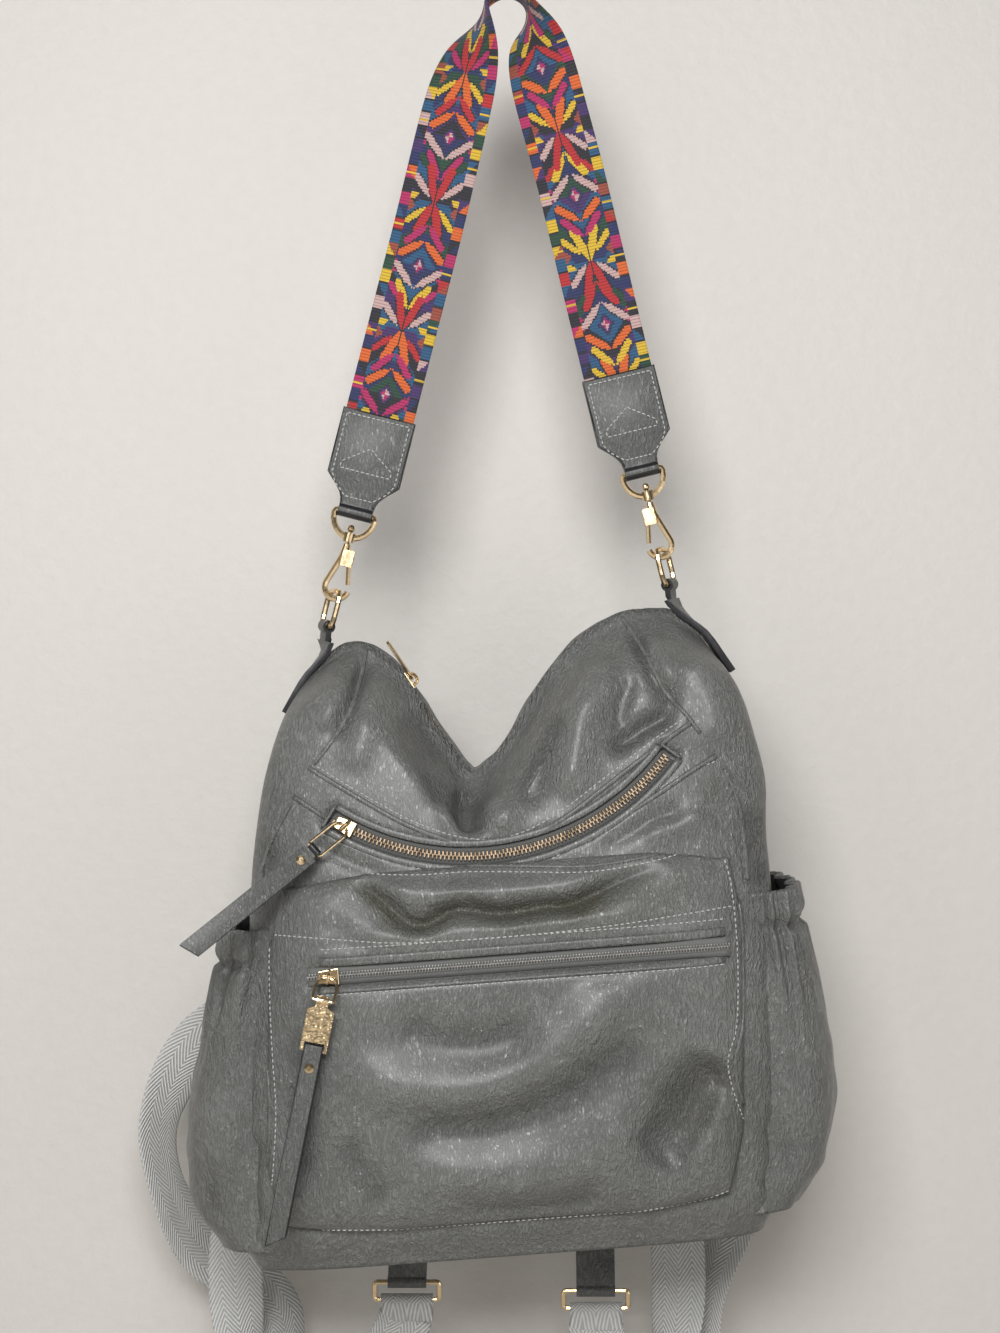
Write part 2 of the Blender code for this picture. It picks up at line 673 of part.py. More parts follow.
def side_pocket_rings(side, inset, low, high, gather):
    """Half rings round a side pocket from its front hem to its back hem, closed inside the bag."""
    rings = []
    for row in range(SIDE_POCKET_ROWS + 1):
        z = low + (high - low) * row / SIDE_POCKET_ROWS
        base = lookup(BAG_HALF_WIDTH, z)
        reach = lookup(SIDE_POCKET_REACH, z) - inset
        ring = []
        for at in range(SIDE_POCKET_COLUMNS):
            angle = math.pi * (at / (SIDE_POCKET_COLUMNS - 1) - 0.5)
            height = (z - SIDE_POCKET_LOW) / (SIDE_POCKET_HIGH - SIDE_POCKET_LOW)
            fold = gather * math.cos(2 * SIDE_POCKET_PLEATS * angle) * math.cos(angle) * abs(2 * height - 1)
            y = (SIDE_POCKET_DEPTH - inset) * math.copysign(abs(math.sin(angle)) ** 0.8, math.sin(angle))
            x = base - 20 * MM + (reach + 20 * MM) * math.cos(angle) ** 0.45 + fold
            ring.append(bag_world(side * x + BAG_CENTRE, y, z))
        for y in (0.7, 0, -0.7):
            ring.append(bag_world(side * (base - 30 * MM) + BAG_CENTRE, y * SIDE_POCKET_DEPTH, z))
        rings.append(ring)
    return rings


def build_side_pocket(side, word):
    name = "side_pocket_" + word
    rings = side_pocket_rings(side, 0, SIDE_POCKET_LOW, SIDE_POCKET_HIGH, SIDE_POCKET_GATHER)
    pocket = finish(name, loft_mesh(name, rings), leather(), smooth=60)
    mouth_low = SIDE_POCKET_HIGH - SIDE_POCKET_MOUTH
    mouth = side_pocket_rings(side, SIDE_POCKET_WALL, mouth_low, SIDE_POCKET_HIGH + 2 * MM, 0)
    combine(pocket, finish(name + "_mouth", loft_mesh(name + "_mouth", mouth), leather()), "DIFFERENCE")
    return seat(pocket)


def top_edge(share, lift):
    z = lookup(BAG_TOP, share)
    return bag_world(BAG_CENTRE + share * lookup(BAG_HALF_WIDTH, z), 0, z + lift)


def build_top_zip():
    """The main zip, which lies along the sagging top edge between the two panels."""
    shares = [share for share in bag_shares() if abs(share) < TOP_ZIP_SHARE]
    corners = [top_edge(share, TOP_ZIP_LIFT) for share in shares]
    lengths = [0.0]
    for before, after in zip(corners, corners[1:]):
        lengths.append(lengths[-1] + (after - before).length)

    def place(s, across, height):
        at = max(i for i, start in enumerate(lengths[:-1]) if s >= start - 1e-9)
        along = (corners[at + 1] - corners[at]).normalized()
        out = Vector((0, -1, 0)).cross(along).normalized()
        base = corners[at] + along * (s - lengths[at])
        return base + Vector((0, across, 0)) + out * height

    chain = chain_mesh("top_zip_chain", lengths[-1], TOP_ZIP_PITCH, place)
    finish("top_zip_chain", chain, metal())
    start, end = corners[2], corners[5]
    along = (end - start).normalized()
    frame = frame_matrix(start + along * SLIDER_LENGTH, along, Vector((0, -1, 0)).cross(along))
    made = slider("top_zip_slider", frame, 0)
    height = pull_height()
    loop = wire_mesh("top_zip_pull", pull_loop(TOP_PULL_LENGTH, FRONT_LOOP_WIDTH), PULL_WIRE, True)
    back = Matrix.Translation((0, 0, height)) @ Matrix.Rotation(math.pi, 4, "Z")
    pull = finish("top_zip_pull", loop, metal(), frame @ back)
    carrier = pivot("top_slider_travel", frame.translation, [made])
    pivot("top_pull_hinge", frame @ Vector((0, 0, height)), [pull], carrier)


def build_front_zip():
    place = front_zip_frame()
    length = ZIP_ARC_RADIUS * (ZIP_ARC_END - ZIP_ARC_START)
    chain = chain_mesh(
        "front_zip_chain",
        length,
        ZIP_ARC_PITCH,
        lambda s, across, height: on_arc(place, ZIP_ARC_START + s / ZIP_ARC_RADIUS, -across, height),
    )
    finish("front_zip_chain", chain, metal())
    turn = Matrix.Rotation(ZIP_SLIDER_START, 4, "Z")
    frame = place @ turn @ Matrix.Translation((0, -ZIP_ARC_RADIUS, 0))
    pull_turn = FRONT_PULL_TURN - ZIP_SLIDER_START
    made = slider("front_zip_slider", frame, pull_turn)
    height = Matrix.Translation((0, 0, pull_height()))
    pull_frame = frame @ height @ Matrix.Rotation(pull_turn, 4, "Z") @ Matrix.Rotation(-FRONT_PULL_LIFT, 4, "Y")
    loop = wire_mesh("front_zip_pull", pull_loop(FRONT_LOOP_LENGTH, FRONT_LOOP_WIDTH), PULL_WIRE, True)
    pull = finish("front_zip_pull", loop, metal(), pull_frame)
    strip, rivet = strap_pull(
        "front_pull_strap", pull_frame, FRONT_LOOP_LENGTH, FRONT_STRAP_LENGTH, "front_pull_rivet"
    )
    carrier = pivot("front_slider_hinge", place.translation, [made])
    pivot("front_pull_hinge", pull_frame.translation, [pull, strip, rivet], carrier)


def build_pocket_zip():
    place = pocket_zip_frame()
    chain = chain_mesh(
        "pocket_zip_chain",
        POCKET_ZIP_LENGTH,
        POCKET_ZIP_PITCH,
        lambda s, across, height: place @ Vector((s, across, height)),
    )
    finish("pocket_zip_chain", chain, material("silver_metal", (0.5, 0.5, 0.5), 0.3, 1.0))
    frame = place @ Matrix.Translation((POCKET_SLIDER_START, 0, 0))
    pull_turn = POCKET_PULL_TURN - math.atan(BAG_LEAN)
    made = slider("pocket_zip_slider", frame, pull_turn)
    hang = frame @ Matrix.Translation((0, 0, pull_height())) @ Matrix.Rotation(pull_turn, 4, "Z")
    bail_frame = hang @ Matrix.Rotation(-POCKET_BAIL_LIFT, 4, "Y")
    loop = wire_mesh("pocket_zip_bail", pull_loop(POCKET_BAIL_LENGTH, POCKET_BAIL_WIDTH), PULL_WIRE, True)
    bail = finish("pocket_zip_bail", loop, metal(), bail_frame)
    foot = bail_frame @ Vector((POCKET_BAIL_LENGTH, 0, 0))
    plate_frame = Matrix.Translation(foot) @ hang.to_3x3().to_4x4() @ Matrix.Rotation(-POCKET_PLATE_LIFT, 4, "Y")
    plate = build_pull_plate(plate_frame)
    strip_frame = plate_frame @ Matrix.Translation((PLATE_LENGTH - PLATE_BAR / 2, 0, 0))
    strip, rivet = plate_strap(strip_frame)
    carrier = pivot("pocket_slider_travel", frame.translation, [made])
    bail_hinge = pivot("pocket_pull_hinge", hang.translation, [bail], carrier)
    pivot("pocket_plate_hinge", foot, [plate, strip, rivet], bail_hinge)


def build_pull_plate(place):
    """The gold plate: a knuckle round the bail's bar at X = 0, and a slot for the leather strip at its foot."""
    half, thick = PLATE_WIDTH / 2, PLATE_THICKNESS / 2
    eye_half = POCKET_BAIL_WIDTH / 2 - PULL_WIRE - 2 * PULL_WIRE
    shoulder = PULL_WIRE + 2.4 * MM
    side = [(0, eye_half), (shoulder, eye_half), (shoulder + 2 * MM, half), (PLATE_LENGTH, half)]
    outline = side + [(x, -y) for x, y in reversed(side)]
    rings = [[Vector((x, y, z)) for x, y in outline] for z in (-thick, thick)]
    plate = finish("pocket_pull_plate", loft_mesh("pocket_pull_plate", rings), metal(), place)
    knuckle = rod_mesh("plate_knuckle", (0, -eye_half, 0), (0, eye_half, 0), PULL_WIRE + ROLL_CLEAR + MM, 16)
    combine(plate, finish("plate_knuckle", knuckle, metal(), place), "UNION")
    bore = rod_mesh("plate_bore", (0, -half, 0), (0, half, 0), PULL_WIRE + ROLL_CLEAR, 12)
    combine(plate, finish("plate_bore", bore, metal(), place), "DIFFERENCE")
    wide = PULL_STRAP_WIDTH / 2
    slot = box_mesh(
        "plate_slot", (PLATE_LENGTH - PLATE_BAR - PLATE_SLOT, -wide, -MM * 2), (PLATE_LENGTH - PLATE_BAR, wide, MM * 2)
    )
    return combine(plate, finish("plate_slot", slot, metal(), place), "DIFFERENCE")


def plate_strap(place):
    """The long leather strip folded through the plate's slot: both plies close behind the bar and are riveted."""
    half = PULL_STRAP_WIDTH / 2 - 0.4 * MM
    inner = PLATE_THICKNESS / 2 + GAP
    outer = inner + PULL_STRAP_PLY
    before = PLATE_BAR / 2 + GAP + PULL_STRAP_PLY
    strip = box_mesh("pocket_pull_strap", (-before, -half, -outer), (POCKET_STRAP_LENGTH, half, outer))
    for vertex in strip.vertices:
        if vertex.co.x > 0 and vertex.co.y > 0:
            vertex.co.x -= PULL_STRAP_WIDTH * 0.6
    made = finish("pocket_pull_strap", strip, leather(), place)
    bay = box_mesh("strap_bay", (-before + PULL_STRAP_PLY, -2 * half, -inner), (PLATE_BAR / 2 + GAP, 2 * half, inner))
    combine(made, finish("strap_bay", bay, leather(), place), "DIFFERENCE")
    at = RIVET_SETBACK
    deep = outer + GAP
    hole = rod_mesh("strap_hole", (at, 0, -2 * deep), (at, 0, 2 * deep), RIVET_SHANK + GAP, 12)
    combine(made, finish("strap_hole", hole, leather(), place), "DIFFERENCE")
    long = deep + RIVET_RISE / 2
    shank = rod_mesh("pocket_pull_rivet", (at, 0, -long), (at, 0, long), RIVET_SHANK, 12)
    rivet = finish("pocket_pull_rivet", shank, metal(), place)
    for side in (-1, 1):
        tip = (at, 0, side * (deep + RIVET_RISE))
        head = rod_mesh("rivet_head", (at, 0, side * deep), tip, RIVET_HEAD, 16, RIVET_SHANK)
        combine(rivet, finish("rivet_head", head, metal(), place), "UNION")
    return made, rivet


# The shoulder strap and the hardware at its ends

LEFT_TAB = Vector((-69.3 * MM, 0, -233.2 * MM))
RIGHT_TAB = Vector((60.5 * MM, 0, -210.3 * MM))
LEFT_LEAN = math.radians(14.2)
RIGHT_LEAN = math.radians(-13.8)


def hanger_frame(side):
    """The end tab's top, with -Z along the leather tab, the D-ring and the hook."""
    start, lean = (LEFT_TAB, LEFT_LEAN) if side < 0 else (RIGHT_TAB, RIGHT_LEAN)
    return Matrix.Translation(start) @ Matrix.Rotation(lean, 4, "Y")


def build_shoulder_strap():
    left = hanger_frame(-1)
    right = hanger_frame(1)
    deep = TAB_POCKET - 2 * MM
    face = 0.0
    edge = math.pi / 2
    route = [
        (*(left @ Vector((0, 0, -deep))), face),
        (*LEFT_TAB, face),
        (-53 * MM, 0, -170 * MM, face),
        (-43 * MM, 0, -131 * MM, face),
        (-28.5 * MM, 0, -70.5 * MM, 0.12),
        (-20 * MM, 0, -38 * MM, 0.6),
        (-12.8 * MM, 0, -13 * MM, 1.45),
        (-9.2 * MM, 0, -3.2 * MM, edge),
        (0, 0, 0.8 * MM, edge),
        (9 * MM, 0, -3.2 * MM, edge),
        (12.6 * MM, 0, -13 * MM, 1.69),
        (16 * MM, 0, -32 * MM, 2.5),
        (23.5 * MM, 0, -62 * MM, 3.02),
        (34.4 * MM, 0, -102.5 * MM, math.pi),
        (49 * MM, 0, -163 * MM, math.pi),
        (*RIGHT_TAB, math.pi),
        (*(right @ Vector((0, 0, -deep))), math.pi),
    ]
    band = band_mesh("shoulder_strap", smooth_route(route, 9 * MM), STRAP_WIDTH, STRAP_THICKNESS)
    finish("shoulder_strap", band, material("patterned_webbing", PATTERN, 0.8))


def build_end_tab(side, word):
    """Two plies of leather: the strap's end lies between them, and they fold round the D-ring's bar."""
    name = "end_tab_" + word
    place = hanger_frame(side)
    half, neck, thick = TAB_WIDTH / 2, TAB_NECK / 2, TAB_THICKNESS / 2
    outline = [(-half, 0), (-half, -TAB_STRAIGHT)]
    for at in range(1, 7):
        t = at / 6
        outline.append((-half + (half - neck) * math.sin(t * math.pi / 2) ** 1.1, -TAB_STRAIGHT - (TAB_LENGTH - TAB_STRAIGHT - 4 * MM) * t))
    outline.append((-neck, -TAB_LENGTH))
    outline += [(-x, z) for x, z in reversed(outline)]
    rings = [[Vector((x, y, z)) for x, z in outline] for y in (-thick, thick)]
    tab = finish(name, loft_mesh(name, rings), leather(), place)
    roll = D_WIRE + ROLL_CLEAR + ROLL_WALL
    fold = rod_mesh(name + "_fold", (-neck, 0, -TAB_LENGTH), (neck, 0, -TAB_LENGTH), roll, 20)
    combine(tab, finish(name + "_fold", fold, leather(), place), "UNION")
    bore = rod_mesh(name + "_bore", (-2 * neck, 0, -TAB_LENGTH), (2 * neck, 0, -TAB_LENGTH), D_WIRE + ROLL_CLEAR, 14)
    combine(tab, finish(name + "_bore", bore, leather(), place), "DIFFERENCE")
    wide = STRAP_WIDTH / 2 + GAP
    thin = STRAP_THICKNESS / 2 + GAP
    pocket = box_mesh(name + "_pocket", (-wide, -thin, -TAB_POCKET), (wide, thin, 2 * MM))
    return combine(tab, finish(name + "_pocket", pocket, leather(), place), "DIFFERENCE")


def hook_outline():
    """Centreline of the hook: from its head down the closed side, round the foot, to the nose."""
    top = -TAB_LENGTH - D_DROP - BARREL_HALF - 3.2 * MM
    foot = top - HOOK_LENGTH + 2 * HOOK_WIRE
    radius = HOOK_WIDTH / 2 - HOOK_WIRE
    centre = foot + radius
    points = [(0.4 * MM, 0, top)]
    tangent = math.acos(radius / (top - centre))
    steps = 14
    for at in range(steps + 1):
        angle = math.pi / 2 + tangent + (math.pi * 1.44 - tangent) * at / steps
        points.append((radius * math.cos(angle), 0, centre + radius * math.sin(angle)))
    return points, top, foot


def link_heights():
    """Middle of the oval ring's top and bottom wires along the hanger."""
    _, _, foot = hook_outline()
    upper = foot + HOOK_WIRE + LINK_PLAY + RING_WIRE
    return upper, upper - 2 * RING_HALF_HEIGHT


def build_hanger(side, word):
    place = hanger_frame(side)
    bar = -TAB_LENGTH
    half = D_WIDTH / 2
    points = []
    for side_x, turn in ((-1, 180), (1, 90)):
        for at in range(3):
            angle = math.radians(turn - 45 * at)
            x = side_x * (half - D_CORNER) + D_CORNER * math.cos(angle)
            points.append((x, 0, bar - D_CORNER + D_CORNER * math.sin(angle)))
    for at in range(1, 12):
        angle = -math.pi * at / 12
        points.append((half * math.cos(angle), 0, bar - D_CORNER + (D_DROP - D_CORNER) * math.sin(angle)))
    ring = finish("d_ring_" + word, wire_mesh("d_ring", points, D_WIRE, True), metal(), place)
    low = bar - D_DROP
    barrel = rod_mesh("barrel", (0, 0, low - BARREL_HALF), (0, 0, low + BARREL_HALF), BARREL_RADIUS, 20)
    combine(ring, finish("barrel_" + word, barrel, metal(), place), "UNION")
    bore = rod_mesh("bore", (0, 0, low - 2 * BARREL_HALF), (0, 0, low + 2 * BARREL_HALF), STEM_RADIUS + ROLL_CLEAR, 14)
    combine(ring, finish("bore_" + word, bore, metal(), place), "DIFFERENCE")

    outline, top, _ = hook_outline()
    mirror = Matrix.Rotation(0 if side < 0 else math.pi, 4, "Z")
    hook = finish("snap_hook_" + word, wire_mesh("hook", outline, HOOK_WIRE), metal(), place @ mirror)
    ball_at = low + BARREL_HALF + GAP + BALL_RADIUS
    stem = rod_mesh("stem", (0, 0, top), (0, 0, ball_at), STEM_RADIUS, 12)
    ball = ball_mesh("ball", (0, 0, ball_at), BALL_RADIUS)
    head = rod_mesh("head", (0, 0, top - 4 * MM), (0, 0, top + 2 * MM), 3 * MM, 16, 2.2 * MM)
    pin_at = (GATE_TOP_X, top - GATE_TOP_DROP)
    cheeks = box_mesh("cheeks", (-MM, -3 * MM, pin_at[1] - 2 * MM), (pin_at[0] + 2 * MM, 3 * MM, top - MM))
    slot = box_mesh("slot", (0.7 * MM, -GATE_WIRE - 2 * GAP, pin_at[1] - 4 * MM), (9 * MM, GATE_WIRE + 2 * GAP, top - 4.4 * MM))
    pin = rod_mesh("pin", (pin_at[0], -2.6 * MM, pin_at[1]), (pin_at[0], 2.6 * MM, pin_at[1]), GATE_PIN, 10)
    for label, mesh, operation in (
        ("stem", stem, "UNION"),
        ("ball", ball, "UNION"),
        ("head", head, "UNION"),
        ("cheeks", cheeks, "UNION"),
        ("slot", slot, "DIFFERENCE"),
        ("pin", pin, "UNION"),
    ):
        piece = finish("hook_" + label + "_" + word, mesh, metal(), place @ mirror)
        combine(hook, piece, operation)

    nose = outline[-1]
    start = Vector((pin_at[0], 0, pin_at[1]))
    aim = (Vector(nose) - start).normalized()
    end = Vector(nose) - aim * (HOOK_WIRE + GATE_WIRE + 2 * GAP)
    gate = finish("snap_gate_" + word, wire_mesh("gate", [start, (start + end) / 2, end], GATE_WIRE), metal(), place @ mirror)
    eye = rod_mesh("eye", (start.x, -GATE_WIRE, start.z), (start.x, GATE_WIRE, start.z), GATE_EYE, 16)
    hole = rod_mesh("eye_hole", (start.x, -2 * GATE_WIRE, start.z), (start.x, 2 * GATE_WIRE, start.z), GATE_PIN + GAP, 10)
    for label, mesh, operation in (("eye", eye, "UNION"), ("eye_hole", hole, "DIFFERENCE")):
        piece = finish("gate_" + label + "_" + word, mesh, metal(), place @ mirror)
        combine(gate, piece, operation)

    d_hinge = pivot("d_ring_hinge_" + word, place @ Vector((0, 0, bar)), [ring])
    swivel = pivot("hook_swivel_" + word, place @ Vector((0, 0, low)), [hook], d_hinge)
    pivot("gate_hinge_" + word, place @ start if side < 0 else place @ Vector((-start.x, 0, start.z)), [gate], swivel)


def build_oval_ring(side, word):
    place = hanger_frame(side)
    upper, lower = link_heights()
    middle = (upper + lower) / 2
    turn = Matrix.Rotation(-side * RING_TURN, 4, "Z")
    points = []
    for at in range(RING_STEPS):
        angle = 2 * math.pi * (at + 0.5) / RING_STEPS
        wide = math.copysign(abs(math.cos(angle)) ** RING_SQUARE, math.cos(angle))
        tall = math.copysign(abs(math.sin(angle)) ** RING_SQUARE, math.sin(angle))
        points.append(turn @ Vector((0, RING_HALF_WIDTH * wide, 0)) + Vector((0, 0, middle + RING_HALF_HEIGHT * tall)))
    ring = finish("oval_ring_" + word, wire_mesh("ring", points, RING_WIRE, True), metal(), place)
    pivot("oval_ring_hinge_" + word, place @ Vector((0, 0, lower)), [ring])


def build_side_tab(side, word):
    """A folded leather loop sewn on the bag's end, turned a little where it holds the oval ring."""
    name = "side_tab_" + word
    place = hanger_frame(side)
    _, lower = link_heights()
    start = place @ Vector((0, 0, lower))
    edge = math.pi / 2
    roll = RING_WIRE + ROLL_CLEAR + ROLL_WALL
    turned = edge - side * RING_TURN
    route = [(start.x, 0, start.z, turned), (start.x + side * 0.5 * MM, 0, start.z - 6 * MM, turned)]
    for drop in (14 * MM, 26 * MM, 36 * MM, SIDE_TAB_DROP):
        z = start.z - drop
        x = start.x
        for _ in range(4):
            height = z - BAG_FLOOR - BAG_LEAN * x
            x = BAG_CENTRE + side * (lookup(BAG_HALF_WIDTH, height) + SEAT_GAP + SIDE_TAB_THICKNESS / 2)
        x = (x + start.x) / 2 if drop < 20 * MM else x
        route.append((x, 0, z, edge - side * RING_TURN * max(0, 1 - drop / (26 * MM))))
    band = band_mesh(name, smooth_route(route, 5 * MM), SIDE_TAB_WIDTH, SIDE_TAB_THICKNESS)
    tab = finish(name, band, leather())
    across = place.to_3x3() @ (Matrix.Rotation(-side * RING_TURN, 3, "Z") @ Vector((0, 1, 0)))
    reach = RING_HALF_WIDTH - RING_WIRE - 2.6 * MM
    fold = rod_mesh(name + "_fold", start - across * reach, start + across * reach, roll, 20)
    wings = RING_HALF_WIDTH * 2
    for label, low, high in (("a", reach, wings), ("b", -wings, -reach)):
        notch = box_mesh(name + "_notch_" + label, (-9 * MM, low, -8 * MM), (9 * MM, high, 9 * MM))
        notch_place = place @ Matrix.Translation((0, 0, lower)) @ Matrix.Rotation(-side * RING_TURN, 4, "Z")
        combine(tab, finish(name + "_notch_" + label, notch, leather(), notch_place), "DIFFERENCE")
    combine(tab, finish(name + "_fold", fold, leather()), "UNION")
    bore = rod_mesh(name + "_bore", start - across * wings, start + across * wings, RING_WIRE + ROLL_CLEAR, 14)
    combine(tab, finish(name + "_bore", bore, leather()), "DIFFERENCE")
    seat(tab)


# The backpack straps, which hang below the photographed length


BASE_ANCHORS = {
    "left": (Vector((-54.5 * MM, ANCHOR_BACK, 0)), Vector((-57 * MM, ANCHOR_BACK, -722 * MM))),
    "right": (Vector((50 * MM, ANCHOR_BACK, 0)), Vector((51 * MM, ANCHOR_BACK, -727 * MM))),
}


def base_ring_foot(word):
    """Middle of the rectangular ring's lower bar."""
    _, low = BASE_ANCHORS[word]
    return Vector((low.x, low.y, low.z - (BASE_RING_HEIGHT - 2 * BASE_RING_WIRE)))


def back_point(x, z, off):
    """A point behind the bag, off its back."""
    return (x, bag_depth(z, 1) + off, BAG_FLOOR + z + BAG_LEAN * x)


def build_backpack_straps():
    webbing = material("grey_webbing", WEBBING, 0.8)
    face = 0.0
    edge = math.pi / 2
    straps = {
        "backpack_strap_left": [
            (*back_point(-45 * MM, 232 * MM, 2.6 * MM), face),
            (*back_point(-62 * MM, 190 * MM, 4 * MM), face),
            (*back_point(-100 * MM, 110 * MM, 6 * MM), face),
            (*back_point(-138 * MM, 40 * MM, 6 * MM), face),
            (-154 * MM, 66 * MM, -690 * MM, face),
            (-156 * MM, 66 * MM, -735 * MM, 0.25),
            (-146 * MM, 62 * MM, -768 * MM, 1.1),
            (-112 * MM, ANCHOR_BACK + 3 * MM, -782 * MM, edge),
            (-82 * MM, ANCHOR_BACK + MM, -772 * MM, 2.0),
            (-62 * MM, ANCHOR_BACK, -750 * MM, 2.9),
            (*base_ring_foot("left"), math.pi),
        ],
        "backpack_strap_right": [
            (*back_point(50 * MM, 238 * MM, 2.6 * MM), face),
            (*back_point(62 * MM, 190 * MM, 4 * MM), face),
            (*back_point(80 * MM, 110 * MM, 6 * MM), face),
            (*back_point(92 * MM, 40 * MM, 6 * MM), face),
            (98 * MM, 66 * MM, -690 * MM, face),
            (99 * MM, 66 * MM, -738 * MM, -0.25),
            (92 * MM, 60 * MM, -770 * MM, -1.2),
            (75 * MM, ANCHOR_BACK + 3 * MM, -780 * MM, -edge),
            (59 * MM, ANCHOR_BACK + MM, -770 * MM, -2.2),
            (52 * MM, ANCHOR_BACK, -753 * MM, -math.pi),
            (*base_ring_foot("right"), -math.pi),
        ],
        "strap_tail_left": [
            (*back_point(-84 * MM, 150 * MM, 7.9 * MM), face),
            (*back_point(-130 * MM, 125 * MM, 12 * MM), face),
            (-176 * MM, 64 * MM, -585 * MM, 0.2),
            (-199 * MM, 60 * MM, -630 * MM, 0.9),
            (-194 * MM, 62 * MM, -672 * MM, 1.1),
            (-178 * MM, 84 * MM, -712 * MM, 0.7),
            (-152 * MM, 94 * MM, -732 * MM, 0.4),
            (-134 * MM, 94 * MM, -752 * MM, 0.7),
            (-131 * MM, 94 * MM, -772 * MM, 0.8),
        ],
        "strap_tail_right": [
            (*back_point(76 * MM, 150 * MM, 7.9 * MM), face),
            (*back_point(120 * MM, 90 * MM, 12 * MM), face),
            (144 * MM, 76 * MM, -655 * MM, -0.2),
            (132 * MM, 78 * MM, -690 * MM, -0.5),
            (117 * MM, 78 * MM, -730 * MM, -0.9),
            (112 * MM, 77 * MM, -768 * MM, -0.9),
        ],
    }
    for name, route in straps.items():
        band = band_mesh(name, smooth_route(route, 12 * MM), WEB_WIDTH, WEB_THICKNESS)
        finish(name, band, webbing)


def build_back_patch(side, word):
    """The leather patch that sews a backpack strap's top to the back panel."""
    name = "strap_patch_" + word
    x = -45 * MM if side < 0 else 50 * MM
    z = 232 * MM if side < 0 else 238 * MM
    rings = []
    for at in range(5):
        height = z - PATCH_HEIGHT * (0.35 - at / 4)
        y = bag_depth(height, 1)
        corners = ((-1, -2 * MM), (1, -2 * MM), (1, 5.6 * MM), (-1, 5.6 * MM))
        rings.append([bag_world(x + a * PATCH_WIDTH / 2, y + b, height) for a, b in corners])
    patch = finish(name, loft_mesh(name, rings), leather())
    slot = [(*back_point(x, z + MM, 2.6 * MM), 0.0), (*back_point(x, z - 42 * MM, 4 * MM), 0.0)]
    if side < 0:
        slot[1] = (*back_point(-62 * MM, 190 * MM, 4 * MM), 0.0)
    else:
        slot[1] = (*back_point(62 * MM, 190 * MM, 4 * MM), 0.0)
    opening = band_mesh(name + "_slot", slot, WEB_WIDTH + 3 * MM, WEB_THICKNESS + 4 * GAP)
    combine(patch, finish(name + "_slot", opening, leather()), "DIFFERENCE")
    return seat(patch)


def build_base_anchor(side, word):
    """A folded leather strip under the base that holds a rectangular ring."""
    name = "base_anchor_" + word
    top, low = BASE_ANCHORS[word]
    floor = bag_world(top.x, top.y, ANCHOR_ROOT)
    route = [(floor.x, floor.y, floor.z, math.pi), ((floor.x + low.x) / 2, low.y, (floor.z + low.z) / 2, math.pi), (*low, math.pi)]
    anchor = finish(name, band_mesh(name, route, ANCHOR_WIDTH, ANCHOR_THICKNESS), leather())
    roll = BASE_RING_WIRE + ROLL_CLEAR + ROLL_WALL
    half = Vector((ANCHOR_WIDTH / 2, 0, 0))
    fold = rod_mesh(name + "_fold", low - half, low + half, roll, 18)
    combine(anchor, finish(name + "_fold", fold, leather()), "UNION")
    bore = rod_mesh(name + "_bore", low - 2 * half, low + 2 * half, BASE_RING_WIRE + ROLL_CLEAR, 14)
    combine(anchor, finish(name + "_bore", bore, leather()), "DIFFERENCE")
    seat(anchor)
    wide, tall = BASE_RING_WIDTH / 2 - BASE_RING_WIRE, BASE_RING_HEIGHT - 2 * BASE_RING_WIRE
    corner = 1.6 * MM
    points = []
    for cx, cz, start in ((wide, 0, 0), (-wide, 0, 90), (-wide, -tall, 180), (wide, -tall, 270)):
        for at in range(3):
            angle = math.radians(start + 45 * at)
            inset_x = cx - math.copysign(corner, cx)
            inset_z = cz - corner if cz == 0 else cz + corner
            points.append((low.x + inset_x + corner * math.cos(angle), low.y, low.z + inset_z + corner * math.sin(angle)))
    finish("base_ring_" + word, wire_mesh("base_ring", points, BASE_RING_WIRE, True), metal())


def add_strap_end(word):
    """The webbing's end, folded round the ring's lower bar."""
    strap = parts.objects["backpack_strap_" + word]
    centre = base_ring_foot(word)
    half = Vector((WEB_WIDTH / 2 - 0.6 * MM, 0, 0))
    roll = BASE_RING_WIRE + ROLL_CLEAR + WEB_THICKNESS
    label = "strap_end_" + word
    combine(strap, finish(label, rod_mesh(label, centre - half, centre + half, roll, 18), leather()), "UNION")
    bore = rod_mesh(label + "_bore", centre - 2 * half, centre + 2 * half, BASE_RING_WIRE + ROLL_CLEAR, 14)
    combine(strap, finish(label + "_bore", bore, leather()), "DIFFERENCE")


def main():
    global parts, cutters
    for old in list(bpy.data.objects):
        bpy.data.objects.remove(old)
    parts = collection("convertible_backpack")
    cutters = collection("cutters")
    build_bag()
    build_front_pocket()
    build_top_zip()
    build_front_zip()
    build_pocket_zip()
    build_shoulder_strap()
    build_backpack_straps()
    for side, word in ((-1, "left"), (1, "right")):
        build_side_pocket(side, word)
        build_end_tab(side, word)
        build_hanger(side, word)
        build_oval_ring(side, word)
        build_side_tab(side, word)
        build_back_patch(side, word)
        build_base_anchor(side, word)
        add_strap_end(word)


main()
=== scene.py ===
"""Convertible backpack: its looks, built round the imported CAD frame.

Metres, +Z up, the front faces -Y, and the origin is the hang point under the shoulder strap.
Run as a script: the main function registers the operators and calls them in order.
"""

import math

import bmesh
import bpy
import numpy as np
from mathutils import Matrix, Vector
from mathutils.bvhtree import BVHTree


